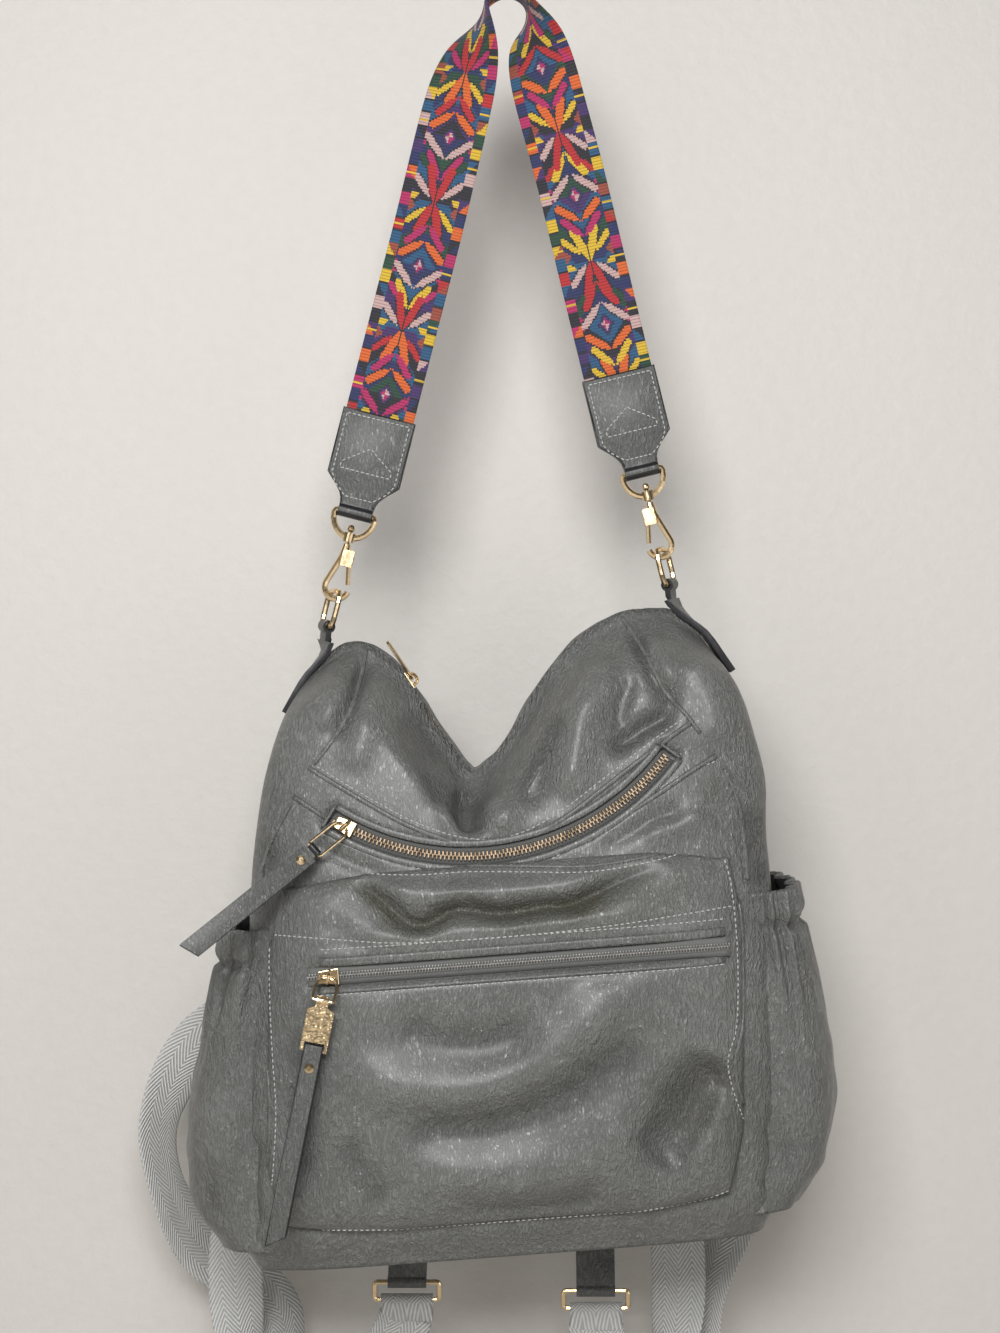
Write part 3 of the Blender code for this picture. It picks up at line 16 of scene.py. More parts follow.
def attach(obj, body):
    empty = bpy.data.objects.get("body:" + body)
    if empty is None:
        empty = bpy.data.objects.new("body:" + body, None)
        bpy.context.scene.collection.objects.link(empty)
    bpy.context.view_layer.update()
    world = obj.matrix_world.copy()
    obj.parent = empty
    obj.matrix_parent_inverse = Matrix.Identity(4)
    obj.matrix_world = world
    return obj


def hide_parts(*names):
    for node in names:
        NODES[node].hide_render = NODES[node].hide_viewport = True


bl_info = {
    "name": "Convertible backpack",
    "version": (1, 0, 0),
    "blender": (4, 5, 0),
    "location": "3D View > Sidebar > Backpack",
    "description": "Dresses the packed backpack with leather, webbing, zips and stitching",
    "category": "Object",
}

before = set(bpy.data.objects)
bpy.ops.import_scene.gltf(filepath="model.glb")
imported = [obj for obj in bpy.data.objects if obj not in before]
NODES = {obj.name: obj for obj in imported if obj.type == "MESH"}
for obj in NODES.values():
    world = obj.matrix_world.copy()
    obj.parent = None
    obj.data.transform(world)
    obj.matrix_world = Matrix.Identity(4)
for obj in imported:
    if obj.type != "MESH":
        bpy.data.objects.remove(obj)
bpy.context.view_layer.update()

MM = 0.001

# The camera, and the photograph's frame that it stands for
CAMERA_DISTANCE = 1100 * MM
CAMERA_X = -3.8 * MM
CAMERA_Z = -369.8 * MM
CAMERA_LENS = 54.5
CAMERA_SENSOR = 36
PICTURE_MIDDLE = (500, 666.5)
PICTURE_SCALE = 0.545 * MM  # Metres for each pixel of the photograph at the bag's middle plane

# The soft bag's form, as in the CAD: X across, Z up from the floor
BAG_FLOOR = -676 * MM
BAG_LEAN = 0.075
BAG_CENTRE = 2 * MM
CORNER_POWER = 6
HALF_WIDTH = (
    (0, 134), (10, 141), (30, 144), (100, 141), (200, 137), (235, 135), (255, 131), (280, 125), (295, 118),
    (310, 108), (328, 95),
)
FRONT_DEPTH = ((0, 50), (10, 60), (30, 64), (100, 66), (200, 58.5), (250, 50.3), (328, 37.5))
BACK_DEPTH = ((0, 50), (10, 58), (30, 60), (100, 58), (200, 52), (250, 44), (328, 32))
TOP_PINCH = ((0, 0.24), (8, 0.5), (18, 0.82), (28, 1))
TOP_LINE = (
    (-1, 306), (-0.95, 321), (-0.8, 322), (-0.588, 309), (-0.454, 293.6), (-0.309, 271), (-0.156, 242),
    (0, 262), (0.156, 294), (0.309, 311), (0.454, 320), (0.64, 328), (0.92, 327), (1, 313),
)

# The curved zip across the front
ARC_X = -22 * MM
ARC_Z = -338 * MM
ARC_RADIUS = 132 * MM
ARC_START = math.radians(-31)
ARC_END = math.radians(53)
ARC_SINK = 3 * MM
CHANNEL_HALF = 6.5 * MM

# The front pocket
POCKET_LEFT = -123
POCKET_RIGHT = 121
POCKET_LOW = 22
POCKET_HIGH = 204
POCKET_EDGE = 2.5
POCKET_BULGE = 10.5
POCKET_PANEL = 0.42
POCKET_ZIP_HEIGHT = 155
POCKET_ZIP_FACE = 69.5
POCKET_ZIP_SPAN = (-102, 114)


# Small helpers


def lookup(table, at):
    """Straight-line reading of a table of (place, value)."""
    return np.interp(at, [row[0] for row in table], [row[1] for row in table])


def smooth_lookup(table, at, reach):
    """A reading of the same table with its corners rounded over a reach."""
    total = 0
    for step in (-1, -0.5, 0, 0.5, 1):
        total = total + lookup(table, np.asarray(at) + step * reach)
    return total / 5


def smoothstep(low, high, at):
    t = np.clip((np.asarray(at) - low) / (high - low), 0, 1)
    return t * t * (3 - 2 * t)


def picture_ray(px, py):
    """Start and direction of the camera's ray through a pixel of the photograph."""
    start = Vector((CAMERA_X, -CAMERA_DISTANCE, CAMERA_Z))
    x = CAMERA_X + (px - PICTURE_MIDDLE[0]) * PICTURE_SCALE
    z = CAMERA_Z - (py - PICTURE_MIDDLE[1]) * PICTURE_SCALE
    return start, (Vector((x, 0, z)) - start).normalized()


def in_picture(points):
    """Where points stand in the photograph's frame, in pixels."""
    near = 1 + points[:, 1] / CAMERA_DISTANCE
    px = PICTURE_MIDDLE[0] + (points[:, 0] - CAMERA_X) / PICTURE_SCALE / near
    py = PICTURE_MIDDLE[1] - (points[:, 2] - CAMERA_Z) / PICTURE_SCALE / near
    return px, py


def smooth_line(points, spacing):
    """A smooth curve through points, read about every spacing."""
    points = [np.array(p, float) for p in points]
    ends = [2 * points[0] - points[1], *points, 2 * points[-1] - points[-2]]
    line = []
    for a, b, c, d in zip(ends, ends[1:], ends[2:], ends[3:]):
        steps = max(1, round(float(np.linalg.norm((c - b)[:3])) / spacing))
        for step in range(steps):
            t = step / steps
            bend = (2 * a - 5 * b + 4 * c - d) * t**2 + (3 * b - a - 3 * c + d) * t**3
            line.append(((2 * b) + (c - a) * t + bend) / 2)
    line.append(points[-1])
    return np.array(line)


def even_line(points, spacing):
    """The same curve cut into even steps."""
    points = np.asarray(points, float)
    run = run_along(points[:, :3])
    count = max(2, round(run[-1] / spacing) + 1)
    at = np.linspace(0, run[-1], count)
    return np.stack([np.interp(at, run, points[:, i]) for i in range(points.shape[1])], axis=1)


def units(ways):
    """Directions with a length of 1."""
    return ways / np.linalg.norm(ways, axis=1)[:, None]


def run_along(points):
    """How far along a line each of its points lies."""
    steps = np.linalg.norm(np.diff(points, axis=0), axis=1)
    return np.concatenate([[0], np.cumsum(steps)])


def line_distance(px, py, line):
    """Distance of points from a line, and how far along it they are, 0 to 1."""
    best = np.full(px.shape, 1e9)
    share = np.zeros(px.shape)
    line = np.asarray(line, float)
    run = run_along(line)
    steps = np.diff(run)
    for at in range(len(line) - 1):
        (x0, y0), (x1, y1) = line[at], line[at + 1]
        size = max(steps[at] ** 2, 1e-9)
        t = np.clip(((px - x0) * (x1 - x0) + (py - y0) * (y1 - y0)) / size, 0, 1)
        gap = np.hypot(px - x0 - t * (x1 - x0), py - y0 - t * (y1 - y0))
        nearer = gap < best
        best = np.where(nearer, gap, best)
        share = np.where(nearer, (run[at] + t * steps[at]) / run[-1], share)
    return best, share


def uneven(points, size, seed):
    """Smooth unevenness of about -1 to 1 over a size in metres."""
    wave = np.zeros(len(points))
    draw = np.random.default_rng(seed)
    for octave in range(3):
        for _ in range(6):
            way = draw.normal(size=3)
            way /= np.linalg.norm(way)
            phase = draw.uniform(0, 2 * math.pi)
            wave += np.sin(points @ way * 2 * math.pi / size * 1.9**octave + phase) / (1.8**octave) / 4
    return wave


# Node groups: effects that more than one finish uses


def join(tree, kind, settings=None, **sockets):
    """Adds a node; a socket's value is a number, a colour, or the output that feeds it."""
    made = tree.nodes.new(kind)
    for key, value in (settings or {}).items():
        setattr(made, key, value)
    for key, value in sockets.items():
        label = key.replace("_", " ")
        entry = made.inputs[int(label[1:])] if label[0] == "i" and label[1:].isdigit() else made.inputs[label]
        if isinstance(value, bpy.types.NodeSocket):
            tree.links.new(value, entry)
        else:
            entry.default_value = value
    return made


def calc(tree, operation, a, b=0.0, c=0.0, clamp=False):
    made = join(tree, "ShaderNodeMath", {"operation": operation, "use_clamp": clamp}, i0=a, i1=b)
    if operation in ("SMOOTH_MIN", "MULTIPLY_ADD", "COMPARE", "WRAP"):
        made.inputs[2].default_value = c
    return made.outputs[0]


def remap(tree, value, low, high, to_low=0.0, to_high=1.0):
    smooth = {"interpolation_type": "SMOOTHSTEP"}
    made = join(tree, "ShaderNodeMapRange", smooth, i0=value, i1=low, i2=high, i3=to_low, i4=to_high)
    return made.outputs[0]


def blend_colours(tree, share, first, second, mode="MIX"):
    made = tree.nodes.new("ShaderNodeMix")
    made.data_type = "RGBA"
    made.blend_type = mode
    for at, value in ((0, share), (6, first), (7, second)):
        if isinstance(value, bpy.types.NodeSocket):
            tree.links.new(value, made.inputs[at])
        else:
            made.inputs[at].default_value = value
    return made.outputs[2]


VECTOR = "NodeSocketVector"
FLOAT = "NodeSocketFloat"


def group(name, inputs, outputs):
    """An empty node group with named sockets, and its two end nodes."""
    tree = bpy.data.node_groups.new(name, "ShaderNodeTree")
    for label, kind, value in inputs:
        made = tree.interface.new_socket(label, in_out="INPUT", socket_type=kind)
        if value is not None:
            made.default_value = value
    for label, kind in outputs:
        tree.interface.new_socket(label, in_out="OUTPUT", socket_type=kind)
    return tree, tree.nodes.new("NodeGroupInput"), tree.nodes.new("NodeGroupOutput")


def vector_math(tree, operation, **sockets):
    return join(tree, "ShaderNodeVectorMath", {"operation": operation}, **sockets).outputs[0]


def swayed(tree, place, scale, detail, reach):
    """A place pushed aside a little by a broad noise, so that a pattern wanders."""
    sway = join(tree, "ShaderNodeTexNoise", Vector=place, Scale=scale, Detail=detail)
    shift = vector_math(tree, "SCALE", i0=sway.outputs["Color"], Scale=reach)
    return vector_math(tree, "ADD", i0=place, i1=shift)


def hide_grain_group():
    """Embossed leather grain: short wavy streaks that run mostly upright, with pores between them."""
    tree, given, result = group(
        "Hide grain",
        [("Vector", VECTOR, None), ("Pitch", FLOAT, 620.0), ("Stretch", FLOAT, 0.34)],
        [("Height", FLOAT), ("Creases", FLOAT)],
    )
    place, pitch = given.outputs["Vector"], given.outputs["Pitch"]
    stretch = join(tree, "ShaderNodeCombineXYZ", X=1.0, Y=1.0, Z=given.outputs["Stretch"])
    moved = swayed(tree, place, 38.0, 2.0, 0.010)
    laid = vector_math(tree, "MULTIPLY", i0=moved, i1=stretch.outputs[0])
    streaks = join(tree, "ShaderNodeTexNoise", Vector=laid, Scale=pitch, Detail=3.0, Roughness=0.55)
    pores = join(tree, "ShaderNodeTexVoronoi", {"feature": "DISTANCE_TO_EDGE"}, Vector=laid, Scale=pitch)
    lines = remap(tree, pores.outputs["Distance"], 0.0, 0.16)
    ridges = remap(tree, streaks.outputs["Fac"], 0.42, 0.6)
    height = calc(tree, "ADD", calc(tree, "MULTIPLY", ridges, 0.65), calc(tree, "MULTIPLY", lines, 0.35))
    tree.links.new(height, result.inputs["Height"])
    tree.links.new(calc(tree, "SUBTRACT", 1.0, ridges), result.inputs["Creases"])
    return tree


def wrinkle_group():
    """Fine loose wrinkles, from a stretched cell pattern."""
    tree, given, result = group(
        "Loose wrinkles",
        [("Vector", VECTOR, None), ("Pitch", FLOAT, 60.0)],
        [("Height", FLOAT)],
    )
    moved = swayed(tree, given.outputs["Vector"], 18.0, 3.0, 0.05)
    waves = join(
        tree, "ShaderNodeTexNoise",
        Vector=moved, Scale=given.outputs["Pitch"], Detail=4.0, Roughness=0.5, Distortion=0.6,
    )
    tree.links.new(waves.outputs["Fac"], result.inputs["Height"])
    return tree


def handling_group():
    """Soiling and handling: a broad cloudy mask and a finer blotchy one."""
    tree, given, result = group(
        "Handling",
        [("Vector", VECTOR, None), ("Reach", FLOAT, 14.0)],
        [("Cloud", FLOAT), ("Blotch", FLOAT)],
    )
    place, reach = given.outputs["Vector"], given.outputs["Reach"]
    broad = join(tree, "ShaderNodeTexNoise", Vector=place, Scale=reach, Detail=3.0)
    finer = calc(tree, "MULTIPLY", reach, 6.0)
    small = join(tree, "ShaderNodeTexNoise", Vector=place, Scale=finer, Detail=4.0, Roughness=0.6)
    tree.links.new(remap(tree, broad.outputs["Fac"], 0.38, 0.66), result.inputs["Cloud"])
    tree.links.new(remap(tree, small.outputs["Fac"], 0.42, 0.7), result.inputs["Blotch"])
    return tree


def herringbone_group():
    """Woven webbing: slanted ribs that turn back and forth across the band, from a map in metres."""
    tree, given, result = group(
        "Herringbone weave",
        [("Vector", VECTOR, None), ("Turn", FLOAT, 0.0078), ("Rib", FLOAT, 0.0032)],
        [("Height", FLOAT), ("Yarn", FLOAT)],
    )
    place = join(tree, "ShaderNodeSeparateXYZ", Vector=given.outputs["Vector"])
    zigzag = calc(tree, "PINGPONG", place.outputs["X"], given.outputs["Turn"])
    climb = calc(tree, "ADD", place.outputs["Y"], calc(tree, "MULTIPLY", zigzag, 1.5))
    turns = calc(tree, "DIVIDE", climb, given.outputs["Rib"])
    ribs = calc(tree, "SINE", calc(tree, "MULTIPLY", turns, 2 * math.pi))
    yarn = join(tree, "ShaderNodeTexNoise", Vector=given.outputs["Vector"], Scale=900.0, Detail=2.0)
    fuzz = calc(tree, "MULTIPLY", yarn.outputs["Fac"], 0.5)
    height = calc(tree, "ADD", calc(tree, "MULTIPLY_ADD", ribs, 0.35, 0.35), fuzz)
    tree.links.new(height, result.inputs["Height"])
    tree.links.new(yarn.outputs["Fac"], result.inputs["Yarn"])
    return tree


def ribbed_group():
    """Jacquard webbing: crosswise ribs with the threads of each rib, from a map in metres."""
    tree, given, result = group(
        "Crosswise ribs",
        [("Vector", VECTOR, None), ("Rib", FLOAT, 0.0017), ("Thread", FLOAT, 0.0006)],
        [("Height", FLOAT), ("Gaps", FLOAT)],
    )
    place = join(tree, "ShaderNodeSeparateXYZ", Vector=given.outputs["Vector"])
    turns = calc(tree, "DIVIDE", place.outputs["Y"], given.outputs["Rib"])
    ribs = calc(tree, "ABSOLUTE", calc(tree, "SINE", calc(tree, "MULTIPLY", turns, math.pi)))
    across = calc(tree, "DIVIDE", place.outputs["X"], given.outputs["Thread"])
    threads = calc(tree, "ABSOLUTE", calc(tree, "SINE", calc(tree, "MULTIPLY", across, math.pi)))
    height = calc(tree, "ADD", calc(tree, "MULTIPLY", ribs, 0.75), calc(tree, "MULTIPLY", threads, 0.25))
    tree.links.new(height, result.inputs["Height"])
    tree.links.new(remap(tree, ribs, 0.0, 0.45, 1.0, 0.0), result.inputs["Gaps"])
    return tree


def scuffs_group():
    """Fine random scratches and a soft unevenness for metal."""
    tree, given, result = group(
        "Metal scuffs",
        [("Vector", VECTOR, None), ("Pitch", FLOAT, 400.0)],
        [("Rub", FLOAT), ("Height", FLOAT)],
    )
    place, pitch = given.outputs["Vector"], given.outputs["Pitch"]
    cloud = join(tree, "ShaderNodeTexNoise", Vector=place, Scale=pitch, Detail=4.0, Roughness=0.7)
    drawn_out = vector_math(tree, "MULTIPLY", i0=place, i1=(1.0, 1.0, 0.12))
    finer = calc(tree, "MULTIPLY", pitch, 4.0)
    lines = join(tree, "ShaderNodeTexNoise", Vector=drawn_out, Scale=finer, Detail=1.0)
    tree.links.new(remap(tree, cloud.outputs["Fac"], 0.35, 0.75), result.inputs["Rub"])
    tree.links.new(lines.outputs["Fac"], result.inputs["Height"])
    return tree


GROUPS = {}


def use(tree, name, **sockets):
    """Places a node group in a material's tree."""
    made = tree.nodes.new("ShaderNodeGroup")
    made.node_tree = GROUPS[name]
    for key, value in sockets.items():
        entry = made.inputs[key.replace("_", " ")]
        if isinstance(value, bpy.types.NodeSocket):
            tree.links.new(value, entry)
        else:
            entry.default_value = value
    return made.outputs


def make_groups():
    """Every node group that the finishes use."""
    GROUPS["grain"] = hide_grain_group()
    GROUPS["wrinkles"] = wrinkle_group()
    GROUPS["handling"] = handling_group()
    GROUPS["herringbone"] = herringbone_group()
    GROUPS["ribs"] = ribbed_group()
    GROUPS["scuffs"] = scuffs_group()


# Finishes

FINISHES = {}


def start_finish(name):
    """An empty material with its main shader joined to its output."""
    made = bpy.data.materials.new(name)
    made.use_nodes = True
    tree = made.node_tree
    tree.nodes.clear()
    shader = tree.nodes.new("ShaderNodeBsdfPrincipled")
    out = tree.nodes.new("ShaderNodeOutputMaterial")
    tree.links.new(shader.outputs[0], out.inputs[0])
    FINISHES[name] = made
    return made, tree, shader


def raise_surface(tree, shader, *heights):
    """Feeds Normal from one or more (height, strength, distance) in turn."""
    before = None
    for height, strength, distance in heights:
        bump = join(tree, "ShaderNodeBump", Height=height, Strength=strength, Distance=distance)
        if before is not None:
            tree.links.new(before, bump.inputs["Normal"])
        before = bump.outputs[0]
    tree.links.new(before, shader.inputs["Normal"])


def make_leather(name, colour, light, dark, rough, stain_and_crease_shade_colour):
    """Grey satin faux leather: embossed grain, cloudy handling, painted shade in its folds and a painted highlight on
    their ridges, and brown along the creases that is partly stain and partly painted shade.
    """
    made, tree, shader = start_finish(name)
    place = join(tree, "ShaderNodeTexCoord").outputs["Object"]
    grain = use(tree, "grain", Vector=place, Pitch=640.0, Stretch=0.32)
    loose = use(tree, "wrinkles", Vector=place, Pitch=70.0)
    soil = use(tree, "handling", Vector=place, Reach=13.0)
    tone = blend_colours(tree, calc(tree, "MULTIPLY", soil["Cloud"], 0.4), colour, light)
    tone = blend_colours(tree, calc(tree, "MULTIPLY", soil["Blotch"], 0.14), tone, dark)
    tone = blend_colours(tree, calc(tree, "MULTIPLY", grain["Creases"], 0.3), tone, dark)
    if stain_and_crease_shade_colour:
        depth = join(tree, "ShaderNodeAttribute", {"attribute_name": "depth"}).outputs["Fac"]
        stain_and_crease_shade = join(tree, "ShaderNodeAttribute", {"attribute_name": "soil"}).outputs["Fac"]
        # Painted shade and highlight: dents in the folds are darkened and raised folds lightened, by their depth
        low = remap(tree, depth, -0.1, -1.0)
        high = remap(tree, depth, 0.2, 1.0)
        tone = blend_colours(tree, calc(tree, "MULTIPLY", low, 0.5), tone, dark)
        tone = blend_colours(tree, calc(tree, "MULTIPLY", high, 0.22), tone, light)
        # Brown along the listed creases: partly stain from handling, partly painted shade down in the crease
        patchy = calc(tree, "MULTIPLY_ADD", soil["Blotch"], 0.4, 0.55)
        tone = blend_colours(tree, calc(tree, "MULTIPLY", stain_and_crease_shade, patchy), tone, stain_and_crease_shade_colour)
    tree.links.new(tone, shader.inputs["Base Color"])
    worn = calc(tree, "MULTIPLY_ADD", grain["Creases"], 0.16, rough)
    worn = calc(tree, "ADD", worn, calc(tree, "MULTIPLY", soil["Blotch"], 0.08))
    tree.links.new(worn, shader.inputs["Roughness"])
    shader.inputs["Specular IOR Level"].default_value = 0.6
    if stain_and_crease_shade_colour:
        tree.links.new(calc(tree, "MULTIPLY_ADD", stain_and_crease_shade, -0.35, 0.4, True), shader.inputs["Coat Weight"])
    else:
        shader.inputs["Coat Weight"].default_value = 0.25
    shader.inputs["Coat Roughness"].default_value = 0.33
    raise_surface(
        tree, shader,
        (loose["Height"], 0.36, 0.006),
        (grain["Height"], 0.7, 0.0012),
    )
    return made


def make_metal(name, colour, shade, rough, grain=0.06):
    """Plated metal with a fine rub and soft unevenness."""
    made, tree, shader = start_finish(name)
    place = join(tree, "ShaderNodeTexCoord").outputs["Object"]
    rub = use(tree, "scuffs", Vector=place, Pitch=260.0)
    tree.links.new(blend_colours(tree, rub["Rub"], colour, shade), shader.inputs["Base Color"])
    tree.links.new(calc(tree, "MULTIPLY_ADD", rub["Rub"], 0.14, rough), shader.inputs["Roughness"])
    shader.inputs["Metallic"].default_value = 1.0
    raise_surface(tree, shader, (rub["Height"], grain, 0.0002))
    return made


def make_hammered(name, colour, shade):
    """The pull's plate: a plated face with a hammered surface and no mark on it."""
    made, tree, shader = start_finish(name)
    place = join(tree, "ShaderNodeTexCoord").outputs["Object"]
    rub = use(tree, "scuffs", Vector=place, Pitch=300.0)
    cells = join(
        tree, "ShaderNodeTexVoronoi", {"feature": "SMOOTH_F1"}, Vector=place, Scale=560.0, Smoothness=0.5,
    )
    tree.links.new(blend_colours(tree, rub["Rub"], colour, shade), shader.inputs["Base Color"])
    tree.links.new(calc(tree, "MULTIPLY_ADD", rub["Rub"], 0.12, 0.2), shader.inputs["Roughness"])
    shader.inputs["Metallic"].default_value = 1.0
    raise_surface(tree, shader, (cells.outputs["Distance"], 0.45, 0.0007))
    return made


def make_herringbone(name, colour, shade):
    """Silver-grey woven webbing of the backpack straps."""
    made, tree, shader = start_finish(name)
    flat = join(tree, "ShaderNodeUVMap", {"uv_map": "weave"}).outputs[0]
    weave = use(tree, "herringbone", Vector=flat)
    place = join(tree, "ShaderNodeTexCoord").outputs["Object"]
    soil = use(tree, "handling", Vector=place, Reach=16.0)
    lit = remap(tree, weave["Height"], 0.2, 0.9)
    tone = blend_colours(tree, lit, shade, colour)
    tone = blend_colours(tree, calc(tree, "MULTIPLY", soil["Cloud"], 0.25), tone, shade)
    tree.links.new(tone, shader.inputs["Base Color"])
    tree.links.new(calc(tree, "MULTIPLY_ADD", weave["Yarn"], 0.2, 0.42), shader.inputs["Roughness"])
    shader.inputs["Sheen Weight"].default_value = 0.25
    shader.inputs["Sheen Roughness"].default_value = 0.4
    raise_surface(tree, shader, (weave["Height"], 0.8, 0.001))
    return made


def make_jacquard(name):
    """The patterned webbing: colours held by its own weave, ribs and threads from its map."""
    made, tree, shader = start_finish(name)
    flat = join(tree, "ShaderNodeUVMap", {"uv_map": "weave"}).outputs[0]
    weave = use(tree, "ribs", Vector=flat)
    yarn = join(tree, "ShaderNodeAttribute", {"attribute_name": "motif"}).outputs["Color"]
    fuzz = join(tree, "ShaderNodeTexNoise", Vector=flat, Scale=1400.0, Detail=2.0)
    tone = blend_colours(tree, calc(tree, "MULTIPLY", weave["Gaps"], 0.62), yarn, (0.012, 0.012, 0.02, 1))
    tone = blend_colours(tree, calc(tree, "MULTIPLY", fuzz.outputs["Fac"], 0.05), tone, (0.6, 0.58, 0.6, 1))
    tree.links.new(tone, shader.inputs["Base Color"])
    tree.links.new(calc(tree, "MULTIPLY_ADD", fuzz.outputs["Fac"], 0.2, 0.55), shader.inputs["Roughness"])
    shader.inputs["Sheen Weight"].default_value = 0.05
    shader.inputs["Sheen Roughness"].default_value = 0.5
    raise_surface(tree, shader, (weave["Height"], 0.6, 0.0007))
    return made


def make_thread(name, colour, shade):
    """Twisted sewing thread."""
    made, tree, shader = start_finish(name)
    place = join(tree, "ShaderNodeTexCoord").outputs["Object"]
    twist = join(tree, "ShaderNodeTexNoise", Vector=place, Scale=1800.0, Detail=2.0)
    tone = blend_colours(tree, remap(tree, twist.outputs["Fac"], 0.35, 0.65), shade, colour)
    tree.links.new(tone, shader.inputs["Base Color"])
    shader.inputs["Roughness"].default_value = 0.6
    raise_surface(tree, shader, (twist.outputs["Fac"], 0.4, 0.0003))
    return made


def make_plain(name, colour, shade, rough, pitch=300.0, bump=0.15):
    """A dull or painted surface with a slight mottle: edge paint, zip tape, lining and floor."""
    made, tree, shader = start_finish(name)
    place = join(tree, "ShaderNodeTexCoord").outputs["Object"]
    mottle = join(tree, "ShaderNodeTexNoise", Vector=place, Scale=pitch, Detail=4.0, Roughness=0.6)
    tree.links.new(blend_colours(tree, mottle.outputs["Fac"], shade, colour), shader.inputs["Base Color"])
    worn = calc(tree, "MULTIPLY_ADD", mottle.outputs["Fac"], 0.1, rough - 0.05)
    tree.links.new(worn, shader.inputs["Roughness"])
    raise_surface(tree, shader, (mottle.outputs["Fac"], bump, 0.0006))
    return made


def shade_of(colour, *levels):
    """A colour made lighter or darker, by one level or by one for each channel, with its alpha."""
    levels = levels * 3 if len(levels) == 1 else levels
    return (*(min(1.0, c * level) for c, level in zip(colour, levels)), 1)


def make_finishes(looks):
    """Every finish of the backpack, from the looks that a user can change."""
    grey = shade_of(looks.leather, 1)
    # light is for handling and for the painted highlight on fold ridges; dark is for blotches, grain and the painted
    # shade in dents
    light = shade_of(looks.leather, 1.5)
    dark = shade_of(looks.leather, 0.36)
    # Dark brown for the stains along the creases, which also stands for painted shade there
    stain_and_crease_shade = shade_of(looks.leather, 0.42, 0.38, 0.24)
    make_leather("body_leather", grey, light, dark, looks.gloss, stain_and_crease_shade)
    make_leather("trim_leather", shade_of(looks.leather, 0.86), grey, dark, looks.gloss + 0.06, None)
    gold = shade_of(looks.plating, 1)
    make_metal("plated_gold", gold, shade_of(looks.plating, 0.86), 0.17)
    make_hammered("hammered_gold", gold, shade_of(looks.plating, 0.8))
    make_metal("zip_brass", (0.17, 0.128, 0.088, 1), (0.08, 0.06, 0.042, 1), 0.34, 0.12)
    make_metal("zip_silver", (0.3, 0.295, 0.28, 1), (0.2, 0.195, 0.185, 1), 0.45, 0.12)
    make_herringbone("grey_webbing", shade_of(looks.webbing, 1), shade_of(looks.webbing, 0.55))
    make_jacquard("patterned_webbing")
    make_thread("thread", (0.56, 0.565, 0.55, 1), (0.36, 0.37, 0.36, 1))
    make_plain("edge_paint", (0.022, 0.022, 0.025, 1), (0.012, 0.012, 0.014, 1), 0.34)
    make_plain("zip_tape", (0.12, 0.123, 0.118, 1), (0.08, 0.082, 0.079, 1), 0.8, 900.0, 0.4)
    make_plain("pocket_tape", (0.16, 0.163, 0.155, 1), (0.11, 0.112, 0.107, 1), 0.75, 900.0, 0.4)
    make_plain("lining", (0.02, 0.02, 0.021, 1), (0.012, 0.012, 0.013, 1), 0.85)


# Making meshes


def new_piece(name, points, faces, finish, smooth=True):
    """A finished piece from its points and faces, at the origin."""
    mesh = bpy.data.meshes.new(name)
    points = [tuple(p) for p in np.asarray(points, float)]
    mesh.from_pydata(points, [], [tuple(int(i) for i in f) for f in faces])
    mesh.validate()
    piece = bpy.data.objects.new(name, mesh)
    bpy.context.scene.collection.objects.link(piece)
    mesh.materials.append(FINISHES[finish])
    if smooth:
        mesh.polygons.foreach_set("use_smooth", [True] * len(mesh.polygons))
    mesh.update()
    return piece


def only(piece):
    """Makes one piece the selection, for an operator to act on."""
    if bpy.context.object and bpy.context.object.mode != "OBJECT":
        bpy.ops.object.mode_set(mode="OBJECT")
    bpy.ops.object.select_all(action="DESELECT")
    bpy.context.view_layer.objects.active = piece
    piece.select_set(True)
    return piece


def outward(piece):
    """Merges doubles and turns every face outwards."""
    only(piece)
    bpy.ops.object.mode_set(mode="EDIT")
    bpy.ops.mesh.select_all(action="SELECT")
    bpy.ops.mesh.remove_doubles(threshold=0.00001)
    bpy.ops.mesh.normals_make_consistent(inside=False)
    bpy.ops.object.mode_set(mode="OBJECT")
    return piece


def template_mesh(make):
    """Points and faces of a small shape that is modelled once and then copied many times."""
    bpy.ops.object.select_all(action="DESELECT")
    make()
    made = bpy.context.object
    bpy.ops.object.mode_set(mode="OBJECT")
    points = np.array([made.matrix_world @ v.co for v in made.data.vertices])
    faces = [tuple(p.vertices) for p in made.data.polygons]
    bpy.data.objects.remove(made)
    return points, faces


def stitch_shape():
    """One stitch: a short thread, thinner at its ends, 1 long along X and 1 across."""

    def make():
        bpy.ops.mesh.primitive_cylinder_add(
            vertices=6, radius=0.5, depth=1, rotation=(0, math.pi / 2, 0), end_fill_type="NGON",
        )
        bpy.ops.object.transform_apply(rotation=True)
        bpy.ops.object.mode_set(mode="EDIT")
        for cut in (0.22, -0.22):
            bpy.ops.mesh.select_all(action="SELECT")
            bpy.ops.mesh.bisect(plane_co=(cut, 0, 0), plane_no=(1, 0, 0))
        bpy.ops.object.mode_set(mode="OBJECT")
        for v in bpy.context.object.data.vertices:
            if abs(v.co.x) > 0.4:
                v.co.y *= 0.55
                v.co.z = v.co.z * 0.5 - 0.22

    return template_mesh(make)


def tooth_shape():
    """One zip tooth: a block with rounded edges and a nose, 1 long across the zip (Y), 1 along it (X)."""

    def make():
        bpy.ops.mesh.primitive_cube_add(size=1)
        bpy.ops.object.mode_set(mode="EDIT")
        bpy.ops.mesh.select_all(action="SELECT")
        bpy.ops.mesh.bevel(offset=0.16, segments=1, affect="EDGES")
        bpy.ops.object.mode_set(mode="OBJECT")

    return template_mesh(make)


